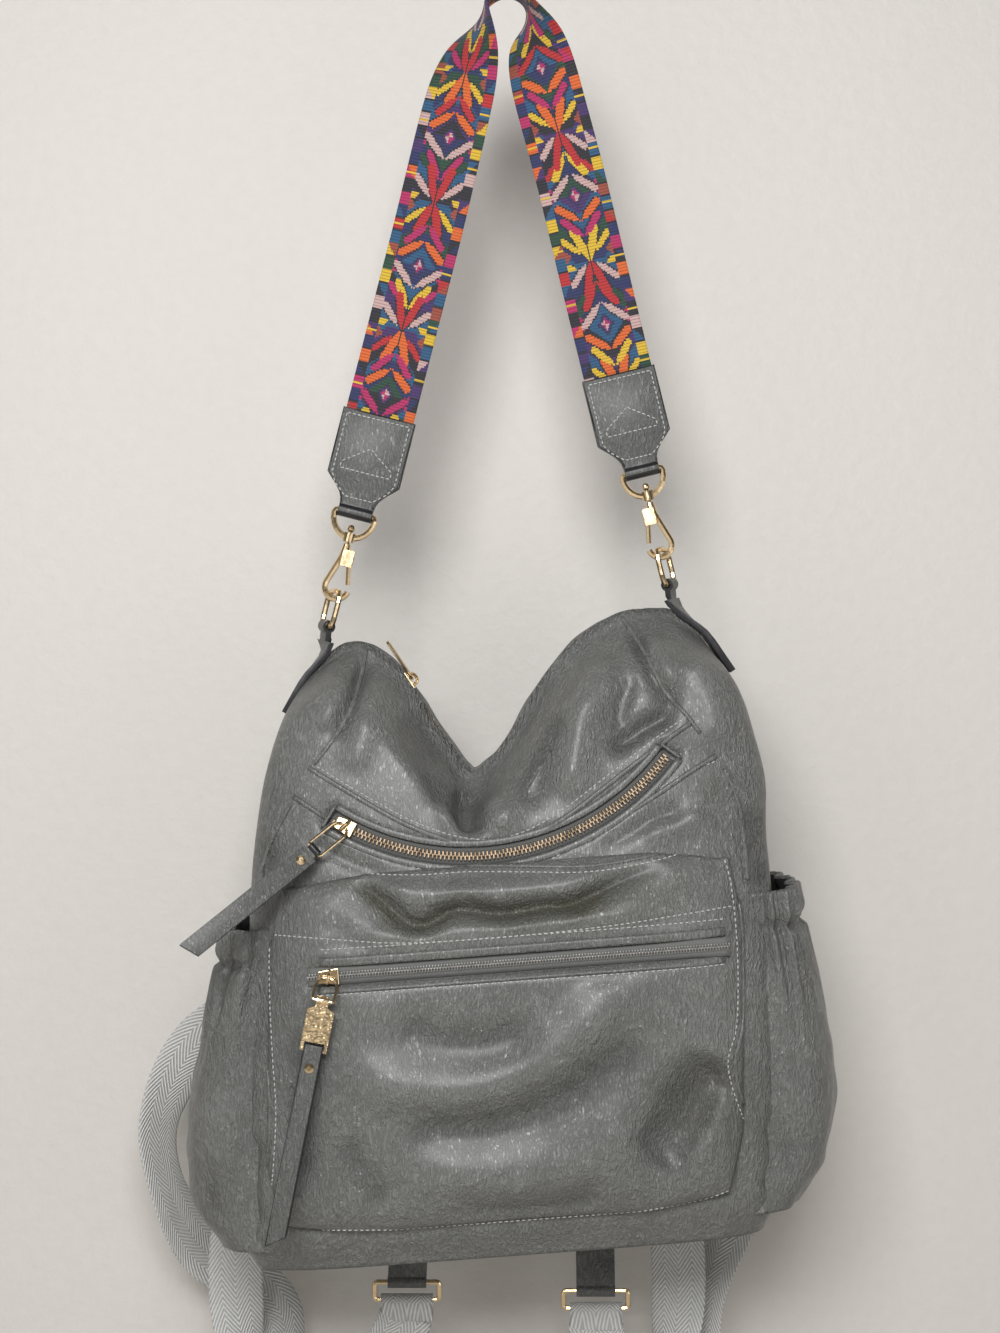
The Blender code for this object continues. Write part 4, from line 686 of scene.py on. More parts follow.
def grid_faces(rows, columns, closed):
    """Faces between the rows of a grid of points; closed joins its last column to its first."""
    faces = []
    for row in range(rows - 1):
        low, high = row * columns, (row + 1) * columns
        for at in range(columns if closed else columns - 1):
            after = (at + 1) % columns
            faces.append((low + at, low + after, high + after, high + at))
    return faces


def tube_faces(rows, around):
    """Faces of a tube of rings, with a flat face at each end."""
    first = tuple(range(around))
    last = tuple(reversed(range((rows - 1) * around, rows * around)))
    return [*grid_faces(rows, around, True), first, last]


def many(name, shape, places, finish, smooth=True):
    """Copies of a template, each at its own 4x4 place, as one piece."""
    points, faces = shape
    flat = np.c_[points, np.ones(len(points))]
    laid = [flat @ np.array(place).T for place in places]
    every = np.concatenate(laid)[:, :3]
    count = len(points)
    faced = [tuple(i + at * count for i in face) for at in range(len(places)) for face in faces]
    return new_piece(name, every, faced, finish, smooth)


def place_at(centre, along, out, size):
    """A place whose X runs along, Z points out, and whose sides are scaled by size."""
    along = Vector(along).normalized()
    out = Vector(out)
    out = (out - along * out.dot(along)).normalized()
    across = out.cross(along)
    turn = Matrix((along * size[0], across * size[1], out * size[2])).transposed().to_4x4()
    turn.translation = Vector(centre)
    return turn


STITCH_PITCH = 3.0 * MM
STITCH_SIZE = (2.0 * MM, 0.74 * MM, 0.74 * MM)
STITCH_LIFT = 0.2 * MM


def stitch_row(name, points, normals, body):
    """A row of stitches along a line on a surface."""
    line = even_line(np.c_[points, normals], STITCH_PITCH)
    places = []
    for at in range(len(line) - 1):
        a, b = line[at], line[at + 1]
        out = (a[3:] + b[3:]) / 2
        centre = (a[:3] + b[:3]) / 2 + out / max(np.linalg.norm(out), 1e-9) * STITCH_LIFT
        places.append(place_at(centre, b[:3] - a[:3], out, STITCH_SIZE))
    row = many(name, SHAPES["stitch"], places, "thread")
    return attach(row, body)


# A raised strip's section: (share of its width, share of its height)
STRIP_SECTION = (
    (-0.5, -0.7), (-0.5, 0.25), (-0.42, 0.75), (-0.25, 1), (0.25, 1), (0.42, 0.75), (0.5, 0.25), (0.5, -0.7),
)


def ribbon(name, points, normals, width, height):
    """A raised strip of the bag's leather along a line on it, with rounded shoulders and closed ends."""
    points = np.asarray(points, float)
    normals = units(np.asarray(normals, float))
    along = units(np.gradient(points, axis=0))
    across = units(np.cross(along, normals))
    rings = [points + across * width * a + normals * (height * b) for a, b in STRIP_SECTION]
    every = np.stack(rings, axis=1).reshape(-1, 3)
    faces = tube_faces(len(points), len(STRIP_SECTION))
    strip = outward(new_piece(name, every, faces, "body_leather"))
    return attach(strip, "bag")


SHAPES = {}


# The soft bag

# Folds that the photograph shows: (line in its pixels, half width, rise, both in millimetres)
BODY_FOLDS = (
    (((368, 652), (357, 690), (345, 716), (330, 742)), 5, -4.0),
    (((385, 668), (372, 700), (362, 740), (350, 775)), 7, 1.8),
    (((342, 668), (334, 700), (322, 735)), 7, 2.2),
    (((400, 700), (425, 750), (446, 790), (462, 822)), 10, -3.2),
    (((466, 786), (467, 812), (471, 838)), 7, -6.0),
    (((484, 800), (500, 822), (516, 838)), 9, 3.0),
    (((440, 800), (452, 822), (462, 842)), 6, 2.2),
    (((612, 648), (592, 690), (578, 730), (572, 772), (556, 800)), 9, 3.6),
    (((560, 700), (545, 745), (532, 785), (522, 815)), 10, -3.2),
    (((604, 752), (630, 738), (655, 722), (680, 708)), 5, -4.2),
    (((636, 668), (622, 700), (616, 735)), 6, -2.6),
    (((628, 622), (645, 655), (660, 684), (684, 712)), 5, -3.6),
    (((650, 634), (662, 664), (676, 690)), 6, 2.6),
    (((690, 650), (712, 700), (724, 748)), 9, 2.2),
    (((598, 846), (630, 828), (662, 816), (690, 812)), 5, -2.6),
    (((640, 836), (680, 822), (712, 818)), 7, 1.8),
    (((318, 838), (350, 858), (392, 868)), 5, -2.4),
    (((268, 830), (264, 880), (258, 930)), 8, -2.4),
    (((752, 800), (758, 850), (764, 900)), 8, -2.6),
    (((250, 1130), (243, 1190), (252, 1240)), 9, -3.0),
    (((780, 1110), (790, 1160), (770, 1200)), 10, -3.5),
)
POCKET_FOLDS = (
    (((326, 862), (356, 878), (384, 900), (410, 924), (428, 924), (456, 908), (500, 913), (545, 905),
      (570, 904), (622, 880), (672, 862)), 4.5, -4.6),
    (((300, 900), (345, 915), (392, 940), (440, 938), (500, 930), (570, 922), (640, 905), (700, 890)),
     8, 1.8),
    (((345, 868), (395, 890), (440, 895), (505, 892), (570, 885), (630, 868)), 7, 2.4),
    (((274, 880), (280, 884)), 4, -3.4),
    (((710, 853), (716, 858)), 4, -3.6),
    (((330, 1040), (372, 1076), (430, 1095), (500, 1084), (560, 1048), (606, 1006), (655, 985)), 13, 3.4),
    (((372, 1108), (430, 1130), (500, 1128), (566, 1102), (622, 1058), (664, 1018)), 13, -4.0),
    (((396, 1160), (470, 1180), (560, 1172), (620, 1140), (662, 1098)), 13, 2.8),
    (((640, 1168), (678, 1130), (704, 1090), (722, 1050)), 16, -6.5),
    (((690, 1170), (716, 1130), (734, 1085)), 7, 2.6),
    (((384, 1010), (430, 1040), (490, 1045), (540, 1020)), 12, -2.6),
    (((300, 1010), (296, 1080), (300, 1150), (312, 1200)), 9, -2.4),
    (((348, 1130), (362, 1175), (392, 1210)), 10, -2.4),
    (((430, 1204), (520, 1212), (620, 1196)), 9, -2.2),
)
FOLD_STRENGTH = 1.3
BODY_FOLD_FULL = 3.2 * MM  # The rise that counts as a whole fold in the leather's painted shade and highlight
POCKET_FOLD_FULL = 3.4 * MM
SIDE_FOLD_FULL = 2.6 * MM

# The top panels' rolled edges over the main zip
LIP_RISE = 4.5 * MM
LIP_INNER = 5.6 * MM


def fold_field(points, folds, facing):
    """Rise of the folds at points, in metres, and none where the surface turns from the camera."""
    px, py = in_picture(points)
    rise = np.zeros(len(points))
    for line, half, height in folds:
        line = smooth_line(line, 9)
        gap, share = line_distance(px, py, line)
        ends = smoothstep(0, 0.22, share) * (1 - smoothstep(0.78, 1, share)) if len(line) > 3 else 1
        reach = half / (PICTURE_SCALE / MM)
        rise += height * MM * np.exp(-((gap / reach) ** 2)) * ends
    return rise * facing


def grid_normals(grid, closed):
    """Outward normals of a grid of points (rows, columns, 3) whose columns run anticlockwise from above."""
    if closed:
        right = np.roll(grid, -1, axis=1) - np.roll(grid, 1, axis=1)
    else:
        right = np.gradient(grid, axis=1)
    up = np.gradient(grid, axis=0)
    turned = np.cross(right, up)
    return turned / np.maximum(np.linalg.norm(turned, axis=2), 1e-12)[:, :, None]


def arc_place():
    """Frame of the curved zip: right and up in its plane, and outward."""
    low, high = FRONT_DEPTH[4], FRONT_DEPTH[5]
    slope = (low[1] - high[1]) / (high[0] - low[0])
    height = (ARC_Z - BAG_FLOOR - BAG_LEAN * ARC_X) / MM
    y = -(low[1] - slope * (height - low[0])) * MM + ARC_SINK
    out = Vector((-slope * BAG_LEAN, -1, slope)).normalized()
    up = (Vector((0, 0, 1)) - out * out.z).normalized()
    right = up.cross(out)
    return Vector((ARC_X, y, ARC_Z)), right, up, out


def arc_point(angle, across, height):
    centre, right, up, out = arc_place()
    radius = ARC_RADIUS + across
    return centre + right * (radius * math.sin(angle)) - up * (radius * math.cos(angle)) + out * height


def arc_gap(points):
    """Distance from the zip's arc, and whether the zip's angles reach there."""
    centre, right, up, _ = arc_place()
    away = points - np.array(centre)
    x = away @ np.array(right)
    y = away @ np.array(up)
    angle = np.arctan2(x, -y)
    inside = smoothstep(ARC_START - 0.05, ARC_START - 0.02, angle)
    inside = inside * (1 - smoothstep(ARC_END + 0.02, ARC_END + 0.05, angle))
    return np.hypot(x, y) - ARC_RADIUS, inside


def around_line(count):
    """Even steps round the bag's squared oval, from its left end by the front: share across, signed bow."""
    turn = np.linspace(0, 2 * math.pi, 6001)
    share = -signed_power(np.cos(turn), 2 / CORNER_POWER)
    bow = -signed_power(np.sin(turn), 2 / CORNER_POWER)
    run = run_along(np.stack([share * 140, bow * 60], axis=1))
    at = np.linspace(0, run[-1], count + 1)[:-1]
    return np.interp(at, run, share), np.interp(at, run, bow)


def bag_grid(columns, rows):
    """The bag's surface as a grid (rows, columns, 3), from the base's edge to the top edge."""
    share, bow = around_line(columns)
    top = smooth_lookup(TOP_LINE, share, 0.05)
    level = np.linspace(0, 1, rows)[:, None]
    z = level * top[None, :]
    x = BAG_CENTRE / MM + share[None, :] * smooth_lookup(HALF_WIDTH, z, 6)
    front = smooth_lookup(FRONT_DEPTH, z, 9)
    back = smooth_lookup(BACK_DEPTH, z, 9)
    depth = np.where(bow[None, :] < 0, front, back)
    y = bow[None, :] * depth * smooth_lookup(TOP_PINCH, top[None, :] - z, 3)
    return lean_up(np.stack([x, y, z], axis=2) * MM)


def front_facing(normals):
    return smoothstep(0.15, 0.6, -normals[:, 1])


def signed_power(values, power):
    return np.sign(values) * np.abs(values) ** power


def lean_up(points):
    """Moves points from the bag's own frame to their place over its leaning floor."""
    points[..., 2] += BAG_FLOOR + BAG_LEAN * points[..., 0]
    return points


# Where the leather is painted browner and darker along its creases, partly stain from handling and partly painted
# shade: (line in pixels, half width in millimetres, strength)
STAINS_AND_CREASE_SHADE = (
    (((330, 868), (372, 896), (412, 926), (460, 908), (520, 914), (580, 904), (640, 880)), 8, 0.9),
    (((560, 910), (640, 896), (700, 880)), 11, 0.45),
    (((726, 1060), (712, 1100), (690, 1150)), 12, 0.5),
    (((700, 780), (716, 800)), 10, 0.3),
)


def set_depth(piece, values):
    """Keeps how far each point was raised or sunk, which the finish turns into painted shade in dents and a painted
    highlight on ridges, and how much brown stain and painted crease shade it has, for the finish to read.

    Points past the end of values count as neither raised nor sunk.
    """
    made = piece.data.attributes.new("depth", "FLOAT", "POINT")
    values = np.concatenate([values, np.zeros(len(piece.data.vertices) - len(values))])
    made.data.foreach_set("value", np.clip(values, -1, 1).astype(np.float32))
    points = np.empty(len(piece.data.vertices) * 3)
    piece.data.vertices.foreach_get("co", points)
    points = points.reshape(-1, 3)
    marks = [(line, half, strength / MM) for line, half, strength in STAINS_AND_CREASE_SHADE]
    soil = fold_field(points, marks, smoothstep(0, 0.03, -points[:, 1]))
    made = piece.data.attributes.new("soil", "FLOAT", "POINT")
    made.data.foreach_set("value", np.clip(soil, 0, 1).astype(np.float32))


def bag_rise(flat, normals):
    """Rise of each point of the bag's front, sides and back, with the zip's groove taken out of it."""
    front = front_facing(normals)
    rise = fold_field(flat, BODY_FOLDS, front) * FOLD_STRENGTH
    loose = uneven(flat, 95 * MM, 3) * 1.5 * MM + uneven(flat * (1, 1, 0.5), 34 * MM, 8) * 0.45 * MM
    sag = uneven(flat * (1.4, 1, 0.45), 60 * MM, 21) * 1.9 * MM
    rise += loose * (0.35 + 0.65 * (1 - front)) + sag * smoothstep(0.2, 0.8, normals[:, 1])
    gap, inside = arc_gap(flat)
    near = front * inside
    rise *= 1 - near * (1 - smoothstep(8 * MM, 20 * MM, np.abs(gap)))
    height = (flat[:, 2] - BAG_FLOOR - BAG_LEAN * flat[:, 0]) / MM
    across = (flat[:, 0] - BAG_CENTRE) / MM
    under = (np.abs(across) < 118) & (height > 24) & (height < 196)
    rise = np.where(under & (front > 0.5), np.minimum(rise, -1.5 * MM), rise)
    rise *= smoothstep(0, 14, height)
    edge = 1 - smoothstep(CHANNEL_HALF - 1.2 * MM, CHANNEL_HALF + 0.6 * MM, np.abs(gap))
    return rise, near * edge * 3.6 * MM


def rolled_lips(top):
    """The top edge rolled up and in over the main zip, then seamed down: three rings above it."""
    across = np.abs(top[:, 0] - BAG_CENTRE)
    lift = LIP_RISE * smoothstep(0, 0.1, 1 - across / across.max())
    crest = top.copy()
    crest[:, 1] = np.sign(top[:, 1]) * np.maximum(np.abs(top[:, 1]) * 0.9, LIP_INNER + 0.6 * MM)
    crest[:, 1] = np.where(np.abs(top[:, 1]) < LIP_INNER, top[:, 1], crest[:, 1])
    line = top_line_points()
    slope = np.interp(top[:, 0], line[:, 0], np.gradient(line[:, 2]) / np.gradient(line[:, 0]))
    square = 1 / np.hypot(1, slope)
    crest[:, 0] -= lift * slope * square
    crest[:, 2] += lift * square
    turn_in = crest.copy()
    turn_in[:, 1] = np.where(np.abs(top[:, 1]) < LIP_INNER, top[:, 1] * 0.9, np.sign(top[:, 1]) * LIP_INNER)
    turn_in[:, 0] += 0.3 * lift * slope * square
    turn_in[:, 2] -= 0.3 * lift * square
    seamed = top.copy()
    inward = np.sign(top[:, 1]) * LIP_INNER * 0.97
    seamed[:, 1] = np.where(np.abs(top[:, 1]) < LIP_INNER, top[:, 1] * 0.85, inward)
    seamed[:, 2] += 0.2 * MM
    return crest, turn_in, seamed


def lid_faces(start, columns):
    """Faces that join the front half of a ring to its back half, from the left end to the right."""
    faces = []
    for at in range(columns // 2):
        back, next_back = (columns - at) % columns, (columns - at - 1) % columns
        corners = (start + at, start + at + 1, start + next_back, start + back)
        faces.append(tuple(dict.fromkeys(corners)))
    return faces


def base_faces(start, columns, last):
    """Faces from the bag's lowest ring in to the point at the middle of its base."""
    faces = []
    ring = 0
    for after_ring in range(start, last, columns):
        for at in range(columns):
            after = (at + 1) % columns
            faces.append((ring + after, ring + at, after_ring + at, after_ring + after))
        ring = after_ring
    for at in range(columns):
        faces.append((ring + (at + 1) % columns, ring + at, last))
    return faces


def make_body():
    """The bag's shell: a folded grid from base to top edge, rolled over the zip and closed below."""
    columns, rows = 300, 132
    grid = bag_grid(columns, rows)
    normals = grid_normals(grid, True).reshape(-1, 3)
    flat = grid.reshape(-1, 3)
    rise, groove = bag_rise(flat, normals)
    moved = flat + normals * (rise - groove)[:, None]
    lips = rolled_lips(moved[-columns:])
    base = moved[:columns]
    centre = base.mean(axis=0)
    inner = [base * (1 - t) + centre * t for t in (0.25, 0.5, 0.75)]
    for ring in inner:
        ring[:, 2] = BAG_FLOOR + BAG_LEAN * ring[:, 0]
    points = np.concatenate([moved, *lips, *inner, centre[None, :]])
    walls = rows + len(lips)
    faces = grid_faces(walls, columns, True)
    faces += lid_faces((walls - 1) * columns, columns)
    faces += base_faces(walls * columns, columns, len(points) - 1)
    body = new_piece("bag_shell", points, faces, "body_leather")
    set_depth(body, rise / BODY_FOLD_FULL)
    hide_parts("bag_body")
    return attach(body, "bag")


def body_depth(x, z):
    """Front of the plain bag at places in its own frame, in millimetres."""
    share = (x - BAG_CENTRE / MM) / lookup(HALF_WIDTH, z)
    bow = np.maximum(0, 1 - np.abs(share) ** CORNER_POWER) ** (1 / CORNER_POWER)
    return bow * smooth_lookup(FRONT_DEPTH, z, 9)


# The front pocket's turned edge: (outward, back) of each ring behind its rim
POCKET_BACK = ((0.7 * MM, 0.9 * MM), (0.8 * MM, 2.2 * MM), (0.0, 5.5 * MM))


def crowded_steps(count):
    """Steps from -1 to 1 that lie closer together near both ends."""
    quarter = math.pi / 2 * 0.94
    return np.sin(np.linspace(-1, 1, count) * quarter) / math.sin(quarter)


def make_front_pocket():
    """The front pocket's shell: a stuffed panel with a sunk channel for its straight zip."""
    columns, rows = 150, 116
    u, v = np.meshgrid(crowded_steps(columns), crowded_steps(rows))
    pull = 1 - 0.06 * np.maximum(0, np.abs(u) + np.abs(v) - 1.6) / 0.4
    x = (POCKET_LEFT + POCKET_RIGHT) / 2 + u * pull * (POCKET_RIGHT - POCKET_LEFT) / 2
    z = (POCKET_LOW + POCKET_HIGH) / 2 + v * pull * (POCKET_HIGH - POCKET_LOW) / 2
    swell = np.sqrt((1 - u**6) * (1 - v**6)) * (1 - (1 - POCKET_PANEL) * np.maximum(0, v - 0.3) / 0.7)
    y = -(body_depth(x, z) + POCKET_EDGE + POCKET_BULGE * swell)
    grid = lean_up(np.stack([x, y, z], axis=2) * MM)
    normals = grid_normals(grid, False).reshape(-1, 3)
    flat = grid.reshape(-1, 3).copy()
    height = z.reshape(-1)
    across = x.reshape(-1)
    rim = smoothstep(0, 0.12, 1 - np.abs(u.reshape(-1))) * smoothstep(0, 0.09, 1 - np.abs(v.reshape(-1)))
    rise = fold_field(flat, POCKET_FOLDS, FOLD_STRENGTH)
    rise += uneven(flat * (1, 1, 0.6), 80 * MM, 5) * 0.6 * MM
    rise *= 0.2 + 0.8 * rim
    over = height - POCKET_ZIP_HEIGHT
    away = np.abs(over) * MM
    along = smoothstep(POCKET_ZIP_SPAN[0] - 3, POCKET_ZIP_SPAN[0] - 1, across)
    along = along * (1 - smoothstep(POCKET_ZIP_SPAN[1] + 1, POCKET_ZIP_SPAN[1] + 3, across))
    rise *= smoothstep(8 * MM, 18 * MM, away)
    lip = np.exp(-(((over - 9.5) / 2.2) ** 2)) * 0.9 * MM
    band = smoothstep(10, 12, over) * (1 - smoothstep(21, 23, over))
    rise += lip * along + band * 0.5 * MM * rim
    flat += normals * rise[:, None]
    sunk = along * (1 - smoothstep(CHANNEL_HALF - 0.6 * MM, CHANNEL_HALF + 0.4 * MM, away))
    floor = -(POCKET_ZIP_FACE - 0.1) * MM
    lowered = flat[:, 1] * (1 - sunk) + np.maximum(flat[:, 1], floor) * sunk
    flat[:, 1] = np.where(sunk > 0, lowered, flat[:, 1])
    edge = [*range(columns), *((row + 1) * columns - 1 for row in range(1, rows))]
    edge += [(rows - 1) * columns + at for at in range(columns - 2, -1, -1)]
    edge += [row * columns for row in range(rows - 2, 0, -1)]
    way = flat[edge] - flat.mean(axis=0)
    way[:, 1] = 0
    way = units(way)
    back = [flat[edge] + way * out + (0, deep, 0) for out, deep in POCKET_BACK]
    points = np.concatenate([flat, *back])
    faces = grid_faces(rows, columns, False)
    count = len(edge)
    start = len(flat)
    for at in range(count):
        after = (at + 1) % count
        faces.append((edge[after], edge[at], start + at, start + after))
        for a in range(start, len(points) - count, count):
            b = a + count
            faces.append((a + after, a + at, b + at, b + after))
    pocket = new_piece("front_pocket_shell", points, faces, "body_leather")
    set_depth(pocket, rise / POCKET_FOLD_FULL)
    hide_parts("front_pocket")
    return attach(pocket, "bag")


# The side pockets, in millimetres of the bag's own frame
SIDE_LOW = 12
SIDE_HIGH = 178
SIDE_DEPTH = 52
SIDE_REACH = ((12, 12), (30, 25), (60, 32), (95, 31), (130, 25), (160, 17), (178, 13.5))
SIDE_MOUTH = 55
SIDE_WALL = 2.6
SIDE_ELASTIC = 148  # Height of the seam under the elastic rim


def side_surface(side, angle, z, inset):
    """A point of a side pocket's smooth wall, in millimetres in the bag's frame."""
    base = lookup(HALF_WIDTH, z)
    reach = smooth_lookup(SIDE_REACH, z, 5) - inset
    y = (SIDE_DEPTH - inset) * signed_power(np.sin(angle), 0.8)
    x = base - 20 + (reach + 20) * np.maximum(np.cos(angle), 1e-4) ** 0.45
    return side * x + BAG_CENTRE / MM, y, z


def pleat_rise(side, angle, level):
    """Rise of the pleats in millimetres: deep under the elastic, gone at the foot, with slack low down."""
    seed = 40 + side
    wander = np.sin(angle * 2.3 + seed) * 0.5 + np.sin(angle * 5.1 + seed * 2) * 0.22
    drift = (1 - level) * (np.sin(angle * 3 + 1) * 0.8)
    pleat = np.sin((angle + wander * 0.35) * 17 + drift)
    fine = np.sin((angle + wander * 0.3) * 31 + 1.7 + drift * 2)
    height = level * (SIDE_HIGH - SIDE_LOW)
    gather = smoothstep(62, 158, height)
    rise = (signed_power(pleat, 0.7) + 0.1) * (0.3 + 1.9 * gather) * gather
    rise += (fine + 0.3) * 1.3 * smoothstep(100, 150, height)
    rise -= 3.4 * np.exp(-(((height - SIDE_ELASTIC) / 2.6) ** 2))
    rise += 1.4 * smoothstep(SIDE_ELASTIC + 2, SIDE_ELASTIC + 8, height)
    return rise + np.exp(-(((height - 30) / 13) ** 2)) * np.sin(angle * 6 + side) * 1.8


def make_side_pocket(side, word):
    """A gathered pocket: pleats run down from an elastic rim, and its mouth is open."""
    columns, rows = 190, 84
    run = np.linspace(-1, 1, columns)
    angle = run * math.pi / 2 * 0.995
    angle, level = np.meshgrid(angle, np.linspace(0, 1, rows))
    z = SIDE_LOW + (SIDE_HIGH - SIDE_LOW) * level
    x, y, z = side_surface(side, angle, z, 0)
    grid = lean_up(np.stack([x, y, z], axis=2) * MM)
    normals = grid_normals(grid, False) * side
    flat = grid.reshape(-1, 3)
    rise = pleat_rise(side, angle, level).reshape(-1) * MM
    loose = 1 - 0.8 * smoothstep(62, 158, level * (SIDE_HIGH - SIDE_LOW)).reshape(-1)
    rise += uneven(flat * (1, 1, 0.8), 55 * MM, 11 + side) * 1.5 * MM * loose
    ends = smoothstep(0, 0.09, 1 - np.abs(run))
    rise *= np.tile(0.15 + 0.85 * ends, rows)
    rise = np.maximum(rise, (0.7 - SIDE_WALL) * MM)
    flat = flat + normals.reshape(-1, 3) * rise[:, None]
    outer = flat.reshape(rows, columns, 3)
    rim = outer[-1]
    inward = -normals[-1]
    rolled = [rim + inward * (0.9 * MM) + (0, 0, 1.2 * MM), rim + inward * (2.2 * MM) + (0, 0, 0.9 * MM)]
    inner = []
    for share in np.linspace(0, 1, 12):
        deep = SIDE_HIGH - 1 - share * SIDE_MOUTH
        ix, iy, iz = side_surface(side, angle[0], np.full(columns, deep), SIDE_WALL)
        inner.append(lean_up(np.stack([ix, iy, iz], axis=1) * MM))
    inner[0] = rim + inward * (SIDE_WALL * MM) - (0, 0, 0.6 * MM)
    seam = BAG_CENTRE + side * 112 * MM
    low = inner[-1].copy()
    low[:, 0] = low[:, 0] * 0.55 + seam * 0.45
    shut = inner[-1].copy()
    shut[:, 0] = seam
    shut[:, 1] *= 0.6
    seam = BAG_CENTRE + side * 110 * MM
    under = outer[0].copy()
    under[:, 0] = under[:, 0] * 0.5 + seam * 0.5
    under[:, 2] -= 0.6 * MM
    tucked = outer[0].copy()
    tucked[:, 0] = seam
    tucked[:, 2] += 3 * MM
    stack = np.stack([tucked, under, *outer, *rolled, *inner, low, shut])
    count = len(stack)
    points = stack.reshape(-1, 3)
    faces = grid_faces(count, columns, False)
    if side < 0:
        faces = [tuple(reversed(face)) for face in faces]
    pocket = new_piece("side_pocket_shell_" + word, points, faces, "body_leather")
    set_depth(pocket, np.concatenate([np.zeros(2 * columns), rise / SIDE_FOLD_FULL]))
    mesh = pocket.data
    mesh.materials.append(FINISHES["lining"])
    first = (2 + rows + 2) * (columns - 1)
    for face in mesh.polygons:
        if face.index > first:
            face.material_index = 1
    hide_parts("side_pocket_" + word)
    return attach(pocket, "bag")


SURFACE = {}


def keep_surface(key, piece):
    """Keeps a shell as a surface that lines can be laid on."""
    points = [v.co.copy() for v in piece.data.vertices]
    SURFACE[key] = BVHTree.FromPolygons(points, [tuple(p.vertices) for p in piece.data.polygons])


def evened(rows, rounds):
    """Rows of numbers with the small jumps between neighbours taken out."""
    for _ in range(rounds):
        rows[1:-1] = (rows[:-2] + rows[1:-1] * 2 + rows[2:]) / 4
    return rows


def on_surface(key, line, step=4):
    """Lays a line of the photograph's frame on the dressed surface: its points and normals."""
    tree = SURFACE[key]
    places, normals = [], []
    for px, py in smooth_line(line, step):
        start, way = picture_ray(px, py)
        hit, normal, _, _ = tree.ray_cast(start, way)
        if hit is not None:
            places.append(hit)
            normals.append(normal if normal.y <= 0 else -normal)
    places = np.array(places)
    normals = np.array(normals)
    keep = np.ones(len(places), bool)
    for at in range(1, len(places)):
        keep[at] = abs(places[at][1] - places[at - 1][1]) < 12 * MM
    places = evened(places[keep], 3)
    return places, units(evened(normals[keep], 3))


# Seams, welts and stitches, each laid along a line of the photograph's frame

BODY_SEAMS = {
    "left_top": ((366, 650), (354, 702), (334, 738), (314, 764)),
    "left_side": ((290, 806), (276, 832), (262, 868), (256, 905)),
    "right_top": ((623, 619), (647, 656), (665, 692), (684, 712), (700, 733)),
    "right_side": ((724, 768), (737, 799), (743, 835), (747, 880)),
}
ZIP_WELTS = {
    "over": ((309, 768), (340, 787), (372, 806), (405, 824), (440, 838), (470, 846), (497, 846), (530, 837),
             (566, 817), (600, 791), (636, 763), (668, 739), (690, 723)),
    "under": ((294, 797), (312, 809), (330, 821)),
    "under_right": ((590, 840), (622, 818), (655, 796), (690, 772), (716, 756)),
}
STITCHES = {
    "zip_over": ((316, 766), (345, 784), (378, 803), (410, 820), (444, 833), (472, 839), (498, 839),
                 (530, 829), (564, 809), (598, 783), (634, 755), (664, 732), (688, 716)),
    "zip_under": ((356, 838), (388, 856), (416, 868), (444, 875), (474, 878), (498, 876), (532, 868),
                  (568, 850), (602, 828), (640, 803), (676, 778), (716, 761)),
}
POCKET_STITCHES = {
    "top": ((292, 876), (330, 868), (372, 874), (420, 875), (466, 872), (520, 872), (588, 872), (650, 862),
            (706, 846)),
    "right": ((722, 852), (730, 880), (736, 930), (738, 985), (736, 1030), (728, 1060), (733, 1090),
              (746, 1130), (750, 1176)),
    "left": ((276, 892), (270, 940), (270, 1000), (273, 1060), (276, 1110), (274, 1160), (270, 1210)),
    "bottom": ((276, 1228), (340, 1230), (420, 1229), (500, 1225), (580, 1220), (660, 1208), (708, 1198),
               (744, 1184)),
    "panel": ((274, 935), (340, 940), (405, 943), (507, 937), (609, 926), (680, 915), (732, 906)),
}
POCKET_PIPING = {
    "top": ((287, 872), (330, 862), (372, 868), (420, 869), (466, 866), (520, 866), (588, 866), (650, 856),
            (708, 840)),
    "right": ((728, 850), (736, 880), (742, 930), (744, 985), (742, 1030), (735, 1062), (739, 1090),
              (752, 1130), (756, 1172)),
    "left": ((270, 886), (264, 940), (264, 1000), (267, 1060), (270, 1110), (268, 1160), (264, 1206)),
}


def line_over_zip(lift_mm):
    """A line that keeps its distance from the pocket's straight zip, in the bag's frame."""
    xs = np.linspace(POCKET_ZIP_SPAN[0] + 6, POCKET_ZIP_SPAN[1] - 3, 60)
    z = BAG_FLOOR + (POCKET_ZIP_HEIGHT + lift_mm) * MM + BAG_LEAN * xs * MM
    return np.stack([xs * MM, z], axis=1)


def straight_on(key, flat_line):
    """Lays a line given across and up (X, Z) on the dressed front, straight back along Y."""
    tree = SURFACE[key]
    places, normals = [], []
    for x, z in flat_line:
        hit, normal, _, _ = tree.ray_cast(Vector((x, -0.3, z)), Vector((0, 1, 0)))
        if hit is not None:
            places.append(hit)
            normals.append(normal if normal.y < 0 else -normal)
    return np.array(places), units(evened(np.array(normals), 2))


